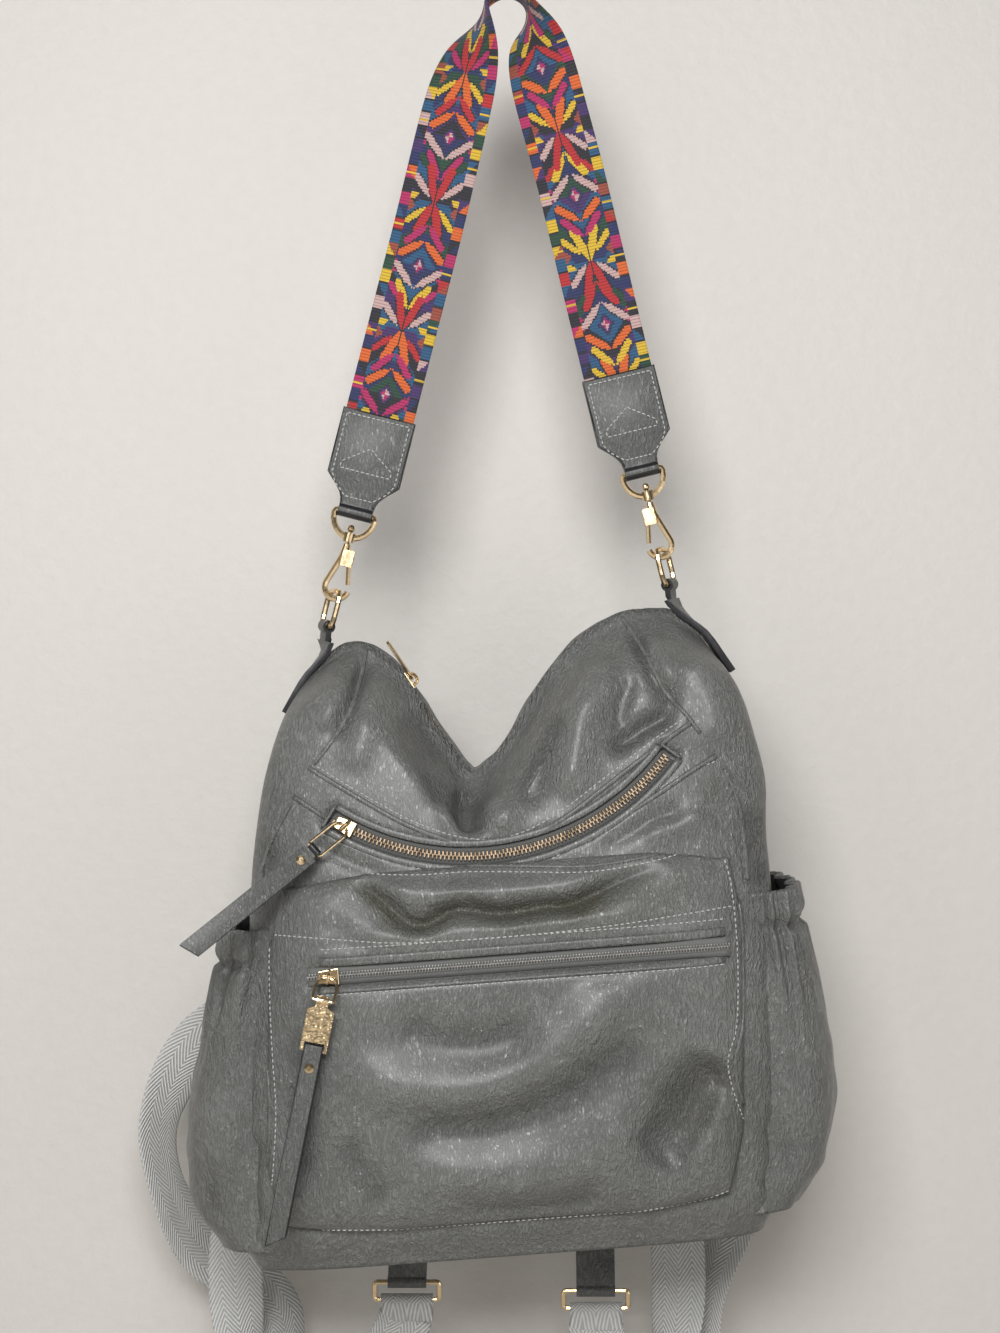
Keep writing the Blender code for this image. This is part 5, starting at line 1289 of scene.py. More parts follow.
def make_body_seams():
    """Seams and welts of the bag, the stitches beside them, and the lips round the curved zip."""
    for name, line in BODY_SEAMS.items():
        points, normals = on_surface("body", line)
        ribbon("seam_" + name, points, normals, 2.4 * MM, 1.3 * MM)
    for name, line in ZIP_WELTS.items():
        points, normals = on_surface("body", line)
        ribbon("welt_" + name, points, normals, 2.6 * MM, 1.5 * MM)
    for name, line in STITCHES.items():
        points, normals = on_surface("body", line, step=2)
        stitch_row("stitches_" + name, points, normals, "bag")
    angles = np.linspace(ARC_START - 0.015, ARC_END + 0.015, 90)
    out = np.array(arc_place()[3])
    for word, across in (("inner", -6.5 * MM), ("outer", 6.5 * MM)):
        points = np.array([arc_point(a, across, ARC_SINK - 0.5 * MM) for a in angles])
        ribbon("zip_lip_" + word, points, np.tile(out, (len(points), 1)), 3.6 * MM, 1.1 * MM)
    for word, angle in (("left", ARC_START - 0.022), ("right", ARC_END + 0.022)):
        steps = np.linspace(-CHANNEL_HALF, CHANNEL_HALF, 8)
        points = np.array([arc_point(angle, t, ARC_SINK - 0.3 * MM) for t in steps])
        normals = np.tile(out, (len(points), 1))
        ribbon("zip_end_" + word, points, normals, 1.6 * MM, 0.9 * MM)


def make_pocket_seams():
    """The front pocket's stitches and piping, and the flap and lip beside its zip."""
    for name, line in POCKET_STITCHES.items():
        points, normals = on_surface("pocket", line, step=2)
        stitch_row("stitches_pocket_" + name, points, normals, "bag")
    for name, lift in (("over", 13.6), ("under", -9.2)):
        points, normals = straight_on("pocket", line_over_zip(lift))
        stitch_row("stitches_pocket_zip_" + name, points, normals, "bag")
    points, normals = straight_on("pocket", line_over_zip(8.6))
    points[:, 2] -= 1.4 * MM
    ribbon("pocket_flap_edge", points, normals, 4.8 * MM, 1.3 * MM)
    points, normals = straight_on("pocket", line_over_zip(-8.2))
    points[:, 2] += 1.5 * MM
    ribbon("pocket_zip_lip", points, normals, 3.8 * MM, 0.7 * MM)
    for name, line in POCKET_PIPING.items():
        points, normals = on_surface("pocket", line)
        ribbon("pocket_edge_" + name, points, normals, 2.0 * MM, 0.9 * MM)


# Zips


def make_teeth(name, place, length, pitch, across, size, height, finish="zip_brass"):
    """Two rows of teeth that mesh along a zip; place(s, across, height) bends it."""
    places = []
    count = int(length / pitch)
    for at in range(count):
        for side in (-1, 1):
            s = (at + 0.5 + side * 0.25) * pitch
            centre = place(s, side * across, height)
            ahead = place(s + 0.2 * MM, side * across, height)
            over = place(s, side * across, height + MM)
            places.append(place_at(centre, ahead - centre, over - centre, size))
    teeth = many(name, SHAPES["tooth"], places, finish, False)
    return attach(teeth, "bag")


TAPE_WIDTH = 9.4 * MM
TAPE_THICKNESS = 0.7 * MM


def make_tape(name, place, length, height, node, finish="zip_tape"):
    """The zip's woven tape under its teeth."""
    steps = max(2, round(length / (3 * MM)))
    lanes = [TAPE_WIDTH * share for share in (-0.5, -0.25, 0, 0.25, 0.5)]
    ring = [(lane, height) for lane in lanes]
    ring += [(lane, height - TAPE_THICKNESS) for lane in reversed(lanes)]
    points = [place(length * at / steps, *spot) for at in range(steps + 1) for spot in ring]
    faces = tube_faces(steps + 1, len(ring))
    tape = outward(new_piece(name, points, faces, finish))
    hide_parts(node)
    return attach(tape, "bag")


def front_zip_bend(s, across, height):
    return arc_point(ARC_START + s / ARC_RADIUS, -across, height)


def pocket_zip_bend(s, across, height):
    x = POCKET_ZIP_SPAN[0] * MM + s * math.cos(math.atan(BAG_LEAN))
    base = Vector((x, -POCKET_ZIP_FACE * MM, BAG_FLOOR + POCKET_ZIP_HEIGHT * MM + BAG_LEAN * x))
    up = Vector((-BAG_LEAN, 0, 1)).normalized()
    return base + up * across + Vector((0, -height, 0))


def top_line_points():
    """The middle line of the bag's top edge, on which the main zip lies."""
    share = np.linspace(-0.85, 0.85, 90)
    z = smooth_lookup(TOP_LINE, share, 0.05)
    x = BAG_CENTRE + share * smooth_lookup(HALF_WIDTH, z, 6) * MM
    return np.stack([x, np.zeros(len(x)), BAG_FLOOR + z * MM + BAG_LEAN * x], axis=1)


def make_zips():
    """The tapes and teeth of the curved front zip, the straight pocket zip and the main zip."""
    size = (1.15 * MM, 3.4 * MM, 1.5 * MM)
    length = ARC_RADIUS * (ARC_END - ARC_START)
    make_tape("front_zip_tape", front_zip_bend, length, 1.1 * MM, "front_zip_chain")
    make_teeth("front_zip_teeth", front_zip_bend, length, 2.1 * MM, 0.95 * MM, size, 1.65 * MM)
    size = (0.8 * MM, 2.3 * MM, 1.1 * MM)
    length = (POCKET_ZIP_SPAN[1] - POCKET_ZIP_SPAN[0]) * MM
    make_tape("pocket_zip_tape", pocket_zip_bend, length, 1.1 * MM, "pocket_zip_chain", "pocket_tape")
    make_teeth(
        "pocket_zip_coils", pocket_zip_bend, length, 1.5 * MM, 0.7 * MM, size, 1.55 * MM, "zip_silver",
    )
    line = top_line_points()
    run = run_along(line)

    def top_zip_bend(s, across, height):
        step = 2 * MM
        back, base, ahead = (
            Vector([np.interp(at, run, line[:, i]) for i in range(3)]) for at in (s - step, s, s + step)
        )
        along = (ahead - back).normalized()
        return base + Vector((0, across, 0)) + Vector((0, -1, 0)).cross(along).normalized() * height

    size = (1.2 * MM, 3.0 * MM, 1.4 * MM)
    make_tape("top_zip_tape", top_zip_bend, run[-1], 1.9 * MM, "top_zip_chain")
    make_teeth("top_zip_teeth", top_zip_bend, run[-1], 2.6 * MM, 1.0 * MM, size, 2.2 * MM)


# The patterned shoulder strap

YARNS = {
    "navy": (0.014, 0.022, 0.1),
    "blue": (0.012, 0.085, 0.19),
    "purple": (0.05, 0.02, 0.12),
    "black": (0.012, 0.011, 0.018),
    "green": (0.01, 0.055, 0.028),
    "red": (0.46, 0.014, 0.018),
    "pink": (0.43, 0.012, 0.11),
    "orange": (0.68, 0.12, 0.012),
    "yellow": (0.68, 0.44, 0.02),
    "cream": (0.55, 0.36, 0.34),
    "rust": (0.3, 0.06, 0.03),
}
BLOCKS = (
    "navy", "orange", "black", "yellow", "blue", "pink", "navy", "cream", "green", "red", "black", "purple",
    "blue", "rust",
)
GROUNDS = ("navy", "blue", "purple", "black", "blue", "navy", "green")
SWAPS = ("yellow", "cream", "red", "orange", "pink", "yellow")
MOTIF_LENGTH = 72  # Millimetres before the leaves come round again
MOTIF_MIDDLE = 36  # Where the diamond lies in that length
GROUND_STEP = 8.5
EDGE_FROM = 13.6  # Millimetres from the middle line out to the edge blocks
BLOCK_LENGTH = 7.4

# Leaves on one half of the band, which the other half mirrors: (start, end, half width, yarn), in millimetres
LEAVES = (
    ((0.3, 0), (6.5, 21), 2.0, "red"),
    ((3.0, 2), (13.4, 13), 1.7, "cream"),
    ((0.4, 12), (9.5, 27), 1.9, "yellow"),
    ((7.0, 17), (13.4, 25), 1.5, "green"),
    ((0.6, 24), (13.0, 36), 1.8, "cream"),
    ((0.4, 50), (12.4, 40), 2.0, "orange"),
    ((0.4, 59), (10.8, 47), 1.8, "pink"),
    ((0.3, 72), (6.5, 53), 2.2, "orange"),
    ((4.0, 68), (13.4, 58), 1.6, "yellow"),
)
TRIANGLES = (
    ((8.6, 3.5), (13.2, 3.5), (13.2, -3.5), "yellow"),
    ((9.0, 33), (13.4, 38), (13.4, 29), "pink"),
    ((9.5, 68), (13.4, 72), (13.4, 64), "rust"),
)


def leaf_share(across, along, start, end, half):
    """How far a point lies across a pointed leaf: under 1 inside it, a little over 1 on its outline."""
    run = (end[0] - start[0], end[1] - start[1])
    length = math.hypot(*run)
    t = ((across - start[0]) * run[0] + (along - start[1]) * run[1]) / length**2
    if not 0 < t < 1:
        return 9.0
    gap = abs((across - start[0]) * run[1] - (along - start[1]) * run[0]) / length
    return gap / (half * min(1, 0.1 + 3 * t, 12 * (1 - t)))


def in_triangle(point, corners):
    """Whether a point lies on the same side of all three edges."""
    signs = []
    for (x0, y0), (x1, y1) in zip(corners, corners[1:] + corners[:1]):
        signs.append((x1 - x0) * (point[1] - y0) - (y1 - y0) * (point[0] - x0) > 0)
    return all(signs) or not any(signs)


def edge_block(across, along):
    """Blocks of uneven length along an edge of the band, some cut by a slant."""
    shift = along + (9 if across > 0 else 0)
    cell = math.floor(shift / BLOCK_LENGTH)
    inside = shift / BLOCK_LENGTH - cell
    if inside < 0.1:
        return "black"
    pick = cell * 5 + (3 if across > 0 else 0)
    if cell % 3 == 1 and (abs(across) - EDGE_FROM) / 5.4 > inside:
        pick += 4
    if cell % 4 == 2 and 0.42 < inside < 0.56:
        return "yellow"
    return BLOCKS[pick % len(BLOCKS)]


def motif_colour(across, along):
    """A generic woven motif: leaves from the middle line, diamonds, triangles and blocks at the edges."""
    side = abs(across)
    block = math.floor(along / MOTIF_LENGTH)
    step = along - block * MOTIF_LENGTH
    if side > EDGE_FROM:
        return edge_block(across, along)
    if side > EDGE_FROM - 0.6:
        return "black"
    ring = side * 1.35 + abs(step - MOTIF_MIDDLE)
    if ring < 6.2:
        turned = (across > 0) == (step > MOTIF_MIDDLE)
        return "black" if ring > 5.4 else "purple" if ring > 3.4 else "pink" if turned else "cream"
    nearest = 9.0
    for at, (start, end, half, yarn) in enumerate(LEAVES):
        share = leaf_share(side, step, start, end, half)
        if share < 1:
            return SWAPS[(at + block) % len(SWAPS)] if (at + block) % 4 == 0 else yarn
        nearest = min(nearest, share)
    if nearest < 1.45:
        return "black"
    for *corners, yarn in TRIANGLES:
        if in_triangle((side, step), tuple(corners)):
            return yarn
    turned = min(step, MOTIF_LENGTH - step)
    ground = math.floor((turned - side * 1.05) / GROUND_STEP)
    return GROUNDS[(ground + block * 2 + (3 if step >= MOTIF_MIDDLE else 0)) % len(GROUNDS)]


# The straps' webbing. A route's points are (x, y, z) in millimetres and the turn about the route in radians
SHOULDER_WIDTH = 37.6 * MM
WEB_WIDTH = 31 * MM
WEB_THICKNESS = 1.5 * MM
TAB_HOLD = 24 * MM  # How far the patterned webbing reaches into an end tab
EDGE_ON = math.pi / 2
SHOULDER_ROUTE = (
    (-53, 0, -170, 0.0), (-43, 0, -131, 0.0), (-28.5, 0, -70.5, 0.12), (-20, 0, -38, 0.6),
    (-12.8, 0, -13, 1.45), (-9.2, 0, -3.2, EDGE_ON), (0, 0, 0.8, EDGE_ON), (9, 0, -3.2, EDGE_ON),
    (12.6, 0, -13, 1.69), (16, 0, -32, 2.5), (23.5, 0, -62, 3.02), (34.4, 0, -102.5, math.pi), (49, 0, -163, math.pi),
)


def band_points(route, width, columns, spacing, cup):
    """A woven band along a route in metres: rings of points round it, its run and its lanes."""
    line = even_line(smooth_line(route, spacing * 2), spacing)
    centre = line[:, :3]
    along = units(np.gradient(centre, axis=0))
    across = units(np.cross(along, np.array([0.0, 1.0, 0.0])))
    deep = np.cross(across, along)
    turn = line[:, 3][:, None]
    wide = across * np.cos(turn) + deep * np.sin(turn)
    flat = np.cross(wide, along)
    lanes = np.linspace(-1, 1, columns)
    rows = []
    for face in (-1, 1):
        order = lanes if face < 0 else lanes[::-1]
        for lane in order:
            edge = 1 - abs(lane) ** 10 * 0.45
            off = face * WEB_THICKNESS / 2 * edge + cup * lane**2
            rows.append(centre + wide * (lane * width / 2) + flat * off)
    return np.stack(rows, axis=1), run_along(centre), lanes


def make_band(name, node, route, width, columns, spacing, finish, cup=0.0):
    """A strap of webbing with its weave's map, and with the woven motif where its finish has one."""
    grid, run, lanes = band_points(route, width, columns, spacing, cup)
    rows, around = grid.shape[:2]
    band = new_piece(name, grid.reshape(-1, 3), tube_faces(rows, around), finish)
    mesh = band.data
    places = np.concatenate([lanes, lanes[::-1]]) * width / 2
    weave = mesh.uv_layers.new(name="weave")
    flat = np.zeros((len(mesh.loops), 2), np.float32)
    corner = np.empty(len(mesh.loops), np.int64)
    mesh.loops.foreach_get("vertex_index", corner)
    flat[:, 0] = places[corner % around]
    flat[:, 1] = run[corner // around]
    weave.data.foreach_set("uv", flat.reshape(-1))
    if finish == "patterned_webbing":
        made = mesh.color_attributes.new("motif", "FLOAT_COLOR", "CORNER")
        colours = np.ones((len(mesh.loops), 4), np.float32)
        for face in mesh.polygons:
            corners = list(face.loop_indices)
            across, along = flat[corners].mean(axis=0) * 1000
            colours[corners, :3] = YARNS[motif_colour(across, along)]
        made.data.foreach_set("color", colours.reshape(-1))
    outward_check(band)
    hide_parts(node)
    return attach(band, "bag")


def outward_check(piece):
    """Turns a closed piece right side out where its faces were wound inwards."""
    shape = bmesh.new()
    shape.from_mesh(piece.data)
    if shape.calc_volume(signed=True) < 0:
        bmesh.ops.reverse_faces(shape, faces=shape.faces)
        shape.to_mesh(piece.data)
    shape.free()


# Leather trim, made from the CAD solids' own shapes


def dressed_copy(node, name, body, bevel=0.3 * MM, edge=None):
    """A copy of a CAD solid with softened edges; edge(normal) picks the faces that are painted black."""
    piece = bpy.data.objects.new(name, NODES[node].data.copy())
    bpy.context.scene.collection.objects.link(piece)
    mesh = piece.data
    mesh.materials.clear()
    mesh.materials.append(FINISHES["trim_leather"])
    mesh.materials.append(FINISHES["edge_paint"])
    only(piece)
    bpy.ops.object.mode_set(mode="EDIT")
    bpy.ops.mesh.select_all(action="SELECT")
    bpy.ops.mesh.remove_doubles(threshold=0.00002)
    bpy.ops.mesh.dissolve_limited(angle_limit=math.radians(2))
    bpy.ops.object.mode_set(mode="OBJECT")
    round_off = piece.modifiers.new("edges", "BEVEL")
    round_off.width = bevel
    round_off.segments = 2
    round_off.limit_method = "ANGLE"
    round_off.angle_limit = math.radians(38)
    bpy.ops.object.modifier_apply(modifier="edges")
    cut_up = piece.modifiers.new("faces", "TRIANGULATE")
    cut_up.min_vertices = 5
    bpy.ops.object.modifier_apply(modifier="faces")
    for face in mesh.polygons:
        face.material_index = 1 if edge and edge(np.array(face.normal)) else 0
    bpy.ops.object.shade_smooth_by_angle(angle=math.radians(40))
    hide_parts(node)
    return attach(piece, body)


def outline_of(shape, flat):
    """The closed line of points round a set of a shape's faces, from its highest point."""
    after = {}
    for edge in shape.edges:
        if sum(face in flat for face in edge.link_faces) == 1:
            loop = next(loop for loop in edge.link_loops if loop.face in flat)
            after[loop.vert] = loop.link_loop_next.vert
    first = max(after, key=lambda vert: vert.co.z)
    line, at = [], first
    while at is not None and len(line) <= len(after):
        line.append(np.array(at.co))
        at = after.get(at)
        if at is first:
            break
    return np.array(line)


def paint_edges(node, name, body, thin, inset=0.85 * MM, proud=0.12 * MM):
    """A black-painted rim along both outlines of a flat leather piece, whose thin direction is given."""
    shape = bmesh.new()
    shape.from_mesh(NODES[node].data)
    bmesh.ops.remove_doubles(shape, verts=shape.verts, dist=0.00002)
    shape.normal_update()
    for side in (-1, 1):
        flat = {face for face in shape.faces if side * float(np.array(face.normal) @ thin) > 0.9}
        line = outline_of(shape, flat)
        out = side * np.asarray(thin, float)
        along = np.roll(line, -1, axis=0) - np.roll(line, 1, axis=0)
        along /= np.maximum(np.linalg.norm(along, axis=1), 1e-9)[:, None]
        inward = np.cross(out, along)
        rings = [line - inward * proud - out * 0.6 * MM, line - inward * proud + out * proud]
        rings += [line + inward * inset + out * proud, line + inward * inset - out * 0.3 * MM]
        faces = grid_faces(len(rings), len(line), True)
        last = (len(rings) - 1) * len(line)
        for spot in range(len(line)):
            ahead = (spot + 1) % len(line)
            faces.append((last + spot, last + ahead, ahead, spot))
        label = "front" if side < 0 else "back"
        rim = outward(new_piece(f"{name}_{label}", np.concatenate(rings), faces, "edge_paint"))
        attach(rim, body)
    shape.free()


def thin_way(node):
    """The direction in which a flat CAD piece is thinnest."""
    points = np.array([v.co for v in NODES[node].data.vertices])
    return np.linalg.svd(points - points.mean(axis=0), full_matrices=False)[2][2]


# The end tabs in millimetres, as in the CAD: (middle of the upper edge, lean in degrees), and their outline
LEFT_TAB = ((-69.3, 0, -233.2), 14.2)
RIGHT_TAB = ((60.5, 0, -210.3), -13.8)
TAB_HALF = 20
TAB_STRAIGHT = 36
TAB_LENGTH = 54.5
TAB_NECK_HALF = 9.3
TAB_FACE = 2.6
TAB_SEAM_INSET = 2.6
TAB_TRIANGLE = ((-14, -29), (0, -19), (14, -29), (14, -32.5), (-14, -32.5), (-14, -29))
TAB_STITCH_PITCH = 2.7
TAB_STITCH_SIZE = (2.0 * MM, 0.78 * MM, 0.7 * MM)


def tab_place(side):
    """Where an end tab hangs: its origin is the middle of its upper edge."""
    start, lean = LEFT_TAB if side < 0 else RIGHT_TAB
    return Matrix.Translation(Vector(start) * MM) @ Matrix.Rotation(math.radians(lean), 4, "Y")


def tab_stitches(side, word):
    """Stitching round the end tab and the triangle that holds the webbing."""
    place = tab_place(side)
    seam = TAB_HALF - TAB_SEAM_INSET
    right = [(seam, -TAB_SEAM_INSET), (seam, -TAB_STRAIGHT), (TAB_HALF - 5.4, -TAB_STRAIGHT - 5)]
    right.append((TAB_NECK_HALF - 1.6, -TAB_LENGTH + 7.5))
    left = [(-x, z) for x, z in reversed(right)]
    for face in (-1, 1):
        label = "front" if face < 0 else "back"
        for line_name, line in (("edge", [left[-1], *right, *left]), ("triangle", TAB_TRIANGLE)):
            places = []
            for (x0, z0), (x1, z1) in zip(line, line[1:]):
                count = max(1, round(math.hypot(x1 - x0, z1 - z0) / TAB_STITCH_PITCH))
                along = place.to_3x3() @ Vector((x1 - x0, 0, z1 - z0))
                for at in range(count):
                    t = (at + 0.5) / count
                    spot = Vector((x0 + (x1 - x0) * t, face * (TAB_FACE + 0.2), z0 + (z1 - z0) * t))
                    places.append(place_at(place @ (spot * MM), along, (0, face, 0), TAB_STITCH_SIZE))
            row = many(f"tab_stitches_{line_name}_{label}_{word}", SHAPES["stitch"], places, "thread")
            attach(row, "bag")


# The rounded, black-painted edges of the leather
END_TAB_BEVEL = 0.9 * MM
PULL_BEVEL = 0.45 * MM

# Pieces that keep the CAD's own mesh and are plated
HARDWARE = (
    "front_zip_slider", "front_zip_pull", "front_pull_rivet", "pocket_zip_slider", "pocket_zip_bail",
    "pocket_pull_rivet", "top_zip_slider", "top_zip_pull",
)
PAIRED_HARDWARE = ("d_ring_", "snap_hook_", "snap_gate_", "oval_ring_", "base_ring_")


def turned_from(thin):
    """A test for the faces round the rim of a flat piece, from its thin direction."""
    return lambda normal: abs(float(normal @ np.asarray(thin, float))) < 0.95


def on_side(normal):
    return abs(normal[1]) > 0.6


def refinish(node, finish):
    """Gives a CAD solid its finish and leaves its shape alone."""
    materials = NODES[node].data.materials
    materials.clear()
    materials.append(FINISHES[finish])


def make_trim():
    """Leather tabs, anchors and pulls with black edges, and plating on the hardware."""
    for side, word in ((-1, "left"), (1, "right")):
        tab, tab_thin = "end_tab_" + word, (0, 1, 0)
        dressed_copy(tab, "end_tab_leather_" + word, "bag", END_TAB_BEVEL, turned_from(tab_thin))
        tab_stitches(side, word)
        paint_edges(tab, "end_tab_edge_" + word, "bag", tab_thin)
        dressed_copy("side_tab_" + word, "side_tab_leather_" + word, "bag", edge=on_side)
        refinish("strap_patch_" + word, "trim_leather")
        dressed_copy("base_anchor_" + word, "base_anchor_leather_" + word, "bag")
        for start in PAIRED_HARDWARE:
            refinish(start + word, "plated_gold")
    for start, body in (("front_pull", "front_pull"), ("pocket_pull", "pocket_plate")):
        strap, name = start + "_strap", start + "_leather"
        thin = thin_way(strap)
        dressed_copy(strap, name, body, PULL_BEVEL, turned_from(thin))
        paint_edges(strap, name + "_edge", body, thin, 0.6 * MM)
    for node in HARDWARE:
        refinish(node, "plated_gold")
    refinish("pocket_pull_plate", "hammered_gold")



# Backpack straps


def behind(x, z, off):
    """A point off the bag's back, in millimetres."""
    return (x, float(lookup(BACK_DEPTH, z)) + off, BAG_FLOOR / MM + z + BAG_LEAN * x)


ANCHOR_BACK = 55
RING_FEET = {"left": (-57, ANCHOR_BACK, -732), "right": (51, ANCHOR_BACK, -737)}
STRAP_ROUTES = {
    "backpack_strap_left": (
        (*behind(-45, 232, 2.6), 0), (*behind(-62, 190, 4), 0), (*behind(-100, 110, 6), 0),
        (*behind(-138, 40, 6), 0), (-154, 66, -690, 0), (-156, 66, -735, 0.25), (-146, 62, -768, 1.1),
        (-112, ANCHOR_BACK + 3, -782, EDGE_ON), (-82, ANCHOR_BACK + 1, -772, 2.0),
        (-62, ANCHOR_BACK, -750, 2.9), (-57.6, ANCHOR_BACK, -741, math.pi),
    ),
    "backpack_strap_right": (
        (*behind(50, 238, 2.6), 0), (*behind(62, 190, 4), 0), (*behind(80, 110, 6), 0),
        (*behind(92, 40, 6), 0),
        (98, 66, -690, 0), (99, 66, -738, -0.25), (92, 60, -770, -1.2), (75, ANCHOR_BACK + 3, -780, -EDGE_ON),
        (59, ANCHOR_BACK + 1, -770, -2.2), (52, ANCHOR_BACK, -753, -math.pi),
        (51.3, ANCHOR_BACK, -745.5, -math.pi),
    ),
    "strap_tail_left": (
        (*behind(-84, 150, 7.9), 0), (*behind(-130, 125, 12), 0), (-176, 64, -585, 0.2),
        (-199, 60, -630, 0.9), (-194, 62, -672, 1.1), (-178, 84, -712, 0.7), (-152, 94, -732, 0.4),
        (-134, 94, -752, 0.7), (-131, 94, -772, 0.8),
    ),
    "strap_tail_right": (
        (*behind(76, 150, 7.9), 0), (*behind(120, 90, 12), 0), (144, 76, -655, -0.2), (132, 78, -690, -0.5),
        (117, 78, -730, -0.9), (112, 77, -768, -0.9),
    ),
}


def make_strap_fold(word):
    """The webbing's end, folded round the ring's lower bar and back up on itself."""
    x, y, z = (c * MM for c in RING_FEET[word])
    radius = 2.7 * MM
    turns = [(radius * 0.3, 12 * MM), (radius * 0.8, 5 * MM)]
    turns += [(radius * math.cos(a), radius * math.sin(a)) for a in np.linspace(0.35, -math.pi - 0.35, 14)]
    turns += [(-radius * 0.8, 5 * MM), (-radius * 0.3, 12 * MM)]
    line = np.array([(x, y + a, z - b) for a, b in turns])
    out = np.cross(units(np.gradient(line, axis=0)), (1.0, 0, 0))
    half = WEB_WIDTH / 2 - 0.7 * MM
    rows = []
    for face in (-1, 1):
        layer = line + out * face * WEB_THICKNESS / 2 * 0.9
        for lane in np.linspace(-1, 1, 12) * face * -1:
            rows.append(layer + (lane * half, 0, 0))
    grid = np.stack(rows, axis=1)
    around = grid.shape[1]
    faces = tube_faces(len(line), around)
    fold = new_piece("strap_fold_" + word, grid.reshape(-1, 3), faces, "grey_webbing")
    weave = fold.data.uv_layers.new(name="weave")
    for loop in fold.data.loops:
        at = fold.data.vertices[loop.vertex_index].co
        weave.data[loop.index].uv = (at.x - x, loop.vertex_index // around * 0.0016)
    outward_check(fold)
    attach(fold, "bag")


def in_metres(route):
    return [(x * MM, y * MM, z * MM, turn) for x, y, z, turn in route]


def make_straps():
    """The patterned strap from tab to tab, and the backpack straps with their folded ends."""
    ends = []
    for side, turn in ((-1, 0.0), (1, math.pi)):
        place = tab_place(side)
        ends.append([(*(place @ Vector((0, 0, -TAB_HOLD))), turn), (*place.translation, turn)])
    left, right = ends
    route = [*left, *in_metres(SHOULDER_ROUTE), *reversed(right)]
    make_band("shoulder_webbing", "shoulder_strap", route, SHOULDER_WIDTH, 56, 1.15 * MM, "patterned_webbing")
    for node, route in STRAP_ROUTES.items():
        name = node + "_webbing"
        make_band(name, node, in_metres(route), WEB_WIDTH, 22, 2.5 * MM, "grey_webbing", 0.6 * MM)
    for word in RING_FEET:
        make_strap_fold(word)


# The stage

STAGE_SIZE = 6
WALL_Y = 0.125
WALL_Z = -0.2
FLOOR_Z = -0.83

# Soft lamps: (name, place, width and height, share of the lamp power), all turned to the bag
LAMPS = (
    ("ceiling", (-0.12, -1.3, 0.12), (0.7, 0.45), 1.25),
    ("window", (-0.8, -1.1, -0.3), (0.6, 1.1), 0.08),
    ("side", (0.9, -1.1, -0.75), (0.6, 0.9), 0.14),
)
LAMP_AIM = (0, 0, -0.42)
ROOM_COLOUR = (0.93, 0.95, 0.97, 1)


def add_lamp(name, place, size, power):
    """A soft rectangular lamp that looks at the bag."""
    lamp = bpy.data.lights.new(name, "AREA")
    lamp.shape = "RECTANGLE"
    lamp.size, lamp.size_y = size
    lamp.energy = power
    made = bpy.data.objects.new(name, lamp)
    made.location = place
    made.rotation_euler = (Vector(LAMP_AIM) - Vector(place)).to_track_quat("-Z", "Y").to_euler()
    bpy.context.scene.collection.objects.link(made)


def stage_finish(name, colour, shade, open_back):
    """Pale matt wall or floor; the wall can't be seen from behind."""
    made, tree, shader = start_finish(name)
    place = join(tree, "ShaderNodeTexCoord").outputs["Object"]
    plaster = join(tree, "ShaderNodeTexNoise", Vector=place, Scale=120.0, Detail=4.0, Roughness=0.55)
    tree.links.new(blend_colours(tree, plaster.outputs["Fac"], shade, colour), shader.inputs["Base Color"])
    shader.inputs["Roughness"].default_value = 0.62
    raise_surface(tree, shader, (plaster.outputs["Fac"], 0.35, 0.002))
    if open_back:
        clear = tree.nodes.new("ShaderNodeBsdfTransparent")
        side = join(tree, "ShaderNodeNewGeometry").outputs["Backfacing"]
        mix = join(tree, "ShaderNodeMixShader", i0=side)
        tree.links.new(shader.outputs[0], mix.inputs[1])
        tree.links.new(clear.outputs[0], mix.inputs[2])
        tree.links.new(mix.outputs[0], tree.get_output_node("ALL").inputs[0])
    return made


def make_stage(looks):
    """The wall, the floor, the lamps, the room's even light and the photograph's camera."""
    colour = shade_of(looks.wall, 1)
    shade = shade_of(looks.wall, 0.93)
    bpy.ops.object.select_all(action="DESELECT")
    for name, place, upright in (("wall", (0, WALL_Y, WALL_Z), True), ("floor", (0, 0, FLOOR_Z), False)):
        turn = (math.pi / 2, 0, 0) if upright else (0, 0, 0)
        bpy.ops.mesh.primitive_plane_add(size=STAGE_SIZE, location=place, rotation=turn)
        sheet = bpy.context.object
        sheet.name = name
        sheet.data.materials.append(stage_finish(name + "_paint", colour, shade, upright))
    for name, place, size, share in LAMPS:
        add_lamp(name, place, size, looks.lamp * share)
    world = bpy.data.worlds.new("room")
    bpy.context.scene.world = world
    world.use_nodes = True
    world.node_tree.nodes["Background"].inputs[0].default_value = ROOM_COLOUR
    world.node_tree.nodes["Background"].inputs[1].default_value = looks.room
    camera = bpy.data.cameras.new("photograph")
    camera.lens = CAMERA_LENS
    camera.sensor_width = CAMERA_SENSOR
    made = bpy.data.objects.new("photograph", camera)
    made.location = (CAMERA_X, -CAMERA_DISTANCE, CAMERA_Z)
    made.rotation_euler = (math.pi / 2, 0, 0)
    bpy.context.scene.collection.objects.link(made)
    bpy.context.scene.camera = made
    bpy.context.scene.view_settings.view_transform = "Standard"


# The add-on


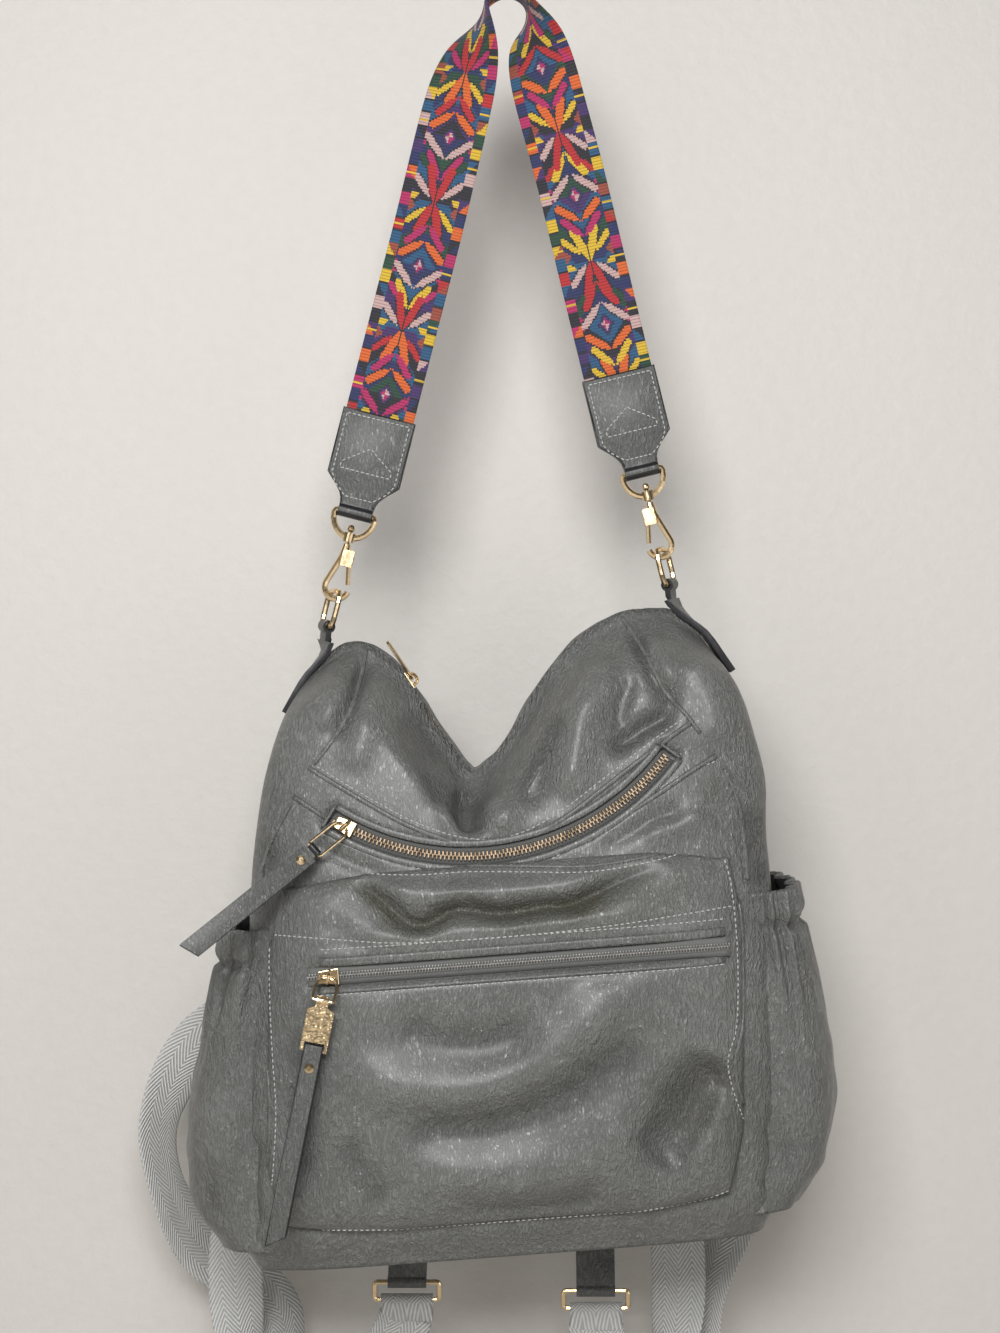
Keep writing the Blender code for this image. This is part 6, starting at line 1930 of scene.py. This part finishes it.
class BackpackLooks(bpy.types.PropertyGroup):
    """Colours and levels that a user would change."""

    leather: bpy.props.FloatVectorProperty(
        name="Leather", description="Main colour of the faux leather", subtype="COLOR", size=3, min=0, max=1,
        default=(0.146, 0.149, 0.141),
    )
    gloss: bpy.props.FloatProperty(
        name="Leather roughness", description="0 is mirror gloss, 1 is matt", subtype="FACTOR", min=0, max=1,
        default=0.36,
    )
    plating: bpy.props.FloatVectorProperty(
        name="Plating", description="Colour of the plated hardware", subtype="COLOR", size=3, min=0, max=1,
        default=(0.86, 0.66, 0.4),
    )
    webbing: bpy.props.FloatVectorProperty(
        name="Webbing", description="Colour of the backpack straps", subtype="COLOR", size=3, min=0, max=1,
        default=(0.78, 0.78, 0.76),
    )
    wall: bpy.props.FloatVectorProperty(
        name="Wall", description="Colour of the wall and floor", subtype="COLOR", size=3, min=0, max=1,
        default=(0.72, 0.69, 0.65),
    )
    lamp: bpy.props.FloatProperty(
        name="Lamp", description="Power of the main soft lamp", unit="POWER", min=0, default=15.0,
    )
    room: bpy.props.FloatProperty(
        name="Room light", description="Level of the even light all round", min=0, default=0.09,
    )


class BACKPACK_OT_bag(bpy.types.Operator):
    """Dresses the bag's body and its front and side pockets"""

    bl_idname = "backpack.bag"
    bl_label = "Bag and pockets"

    def execute(self, context):
        keep_surface("body", make_body())
        keep_surface("pocket", make_front_pocket())
        make_side_pocket(-1, "left")
        make_side_pocket(1, "right")
        return {"FINISHED"}


class BACKPACK_OT_seams(bpy.types.Operator):
    """Lays the seams, welts and rows of stitches on the bag"""

    bl_idname = "backpack.seams"
    bl_label = "Seams and stitches"

    def execute(self, context):
        make_body_seams()
        make_pocket_seams()
        return {"FINISHED"}


class BACKPACK_OT_zips(bpy.types.Operator):
    """Gives the three zips their tapes and teeth"""

    bl_idname = "backpack.zips"
    bl_label = "Zips"

    def execute(self, context):
        make_zips()
        return {"FINISHED"}


class BACKPACK_OT_trim(bpy.types.Operator):
    """Dresses the leather tabs and pulls, and plates the hardware"""

    bl_idname = "backpack.trim"
    bl_label = "Leather trim and hardware"

    def execute(self, context):
        make_trim()
        return {"FINISHED"}


class BACKPACK_OT_straps(bpy.types.Operator):
    """Weaves the shoulder strap and the backpack straps"""

    bl_idname = "backpack.straps"
    bl_label = "Webbing straps"

    def execute(self, context):
        make_straps()
        return {"FINISHED"}


class BACKPACK_OT_stage(bpy.types.Operator):
    """Adds the wall, floor, lamps and camera"""

    bl_idname = "backpack.stage"
    bl_label = "Stage"

    def execute(self, context):
        make_stage(context.scene.backpack_looks)
        return {"FINISHED"}


STEPS = (
    BACKPACK_OT_stage, BACKPACK_OT_bag, BACKPACK_OT_seams, BACKPACK_OT_zips, BACKPACK_OT_trim,
    BACKPACK_OT_straps,
)


class BACKPACK_PT_panel(bpy.types.Panel):
    """Lists the steps and the looks"""

    bl_label = "Backpack"
    bl_idname = "BACKPACK_PT_panel"
    bl_space_type = "VIEW_3D"
    bl_region_type = "UI"
    bl_category = "Backpack"

    def draw(self, context):
        for name in BackpackLooks.__annotations__:
            self.layout.prop(context.scene.backpack_looks, name)
        for step in STEPS:
            self.layout.operator(step.bl_idname)


CLASSES = (BackpackLooks, *STEPS, BACKPACK_PT_panel)


def register():
    for made in CLASSES:
        bpy.utils.register_class(made)
    bpy.types.Scene.backpack_looks = bpy.props.PointerProperty(type=BackpackLooks)


def unregister():
    del bpy.types.Scene.backpack_looks
    for made in reversed(CLASSES):
        bpy.utils.unregister_class(made)


def main():
    """Registers the add-on and runs its operators in order."""
    register()
    make_groups()
    make_finishes(bpy.context.scene.backpack_looks)
    SHAPES["stitch"] = stitch_shape()
    SHAPES["tooth"] = tooth_shape()
    for step in STEPS:
        group_name, call = step.bl_idname.split(".")
        getattr(getattr(bpy.ops, group_name), call)()


if __name__ == "__main__":
    main()
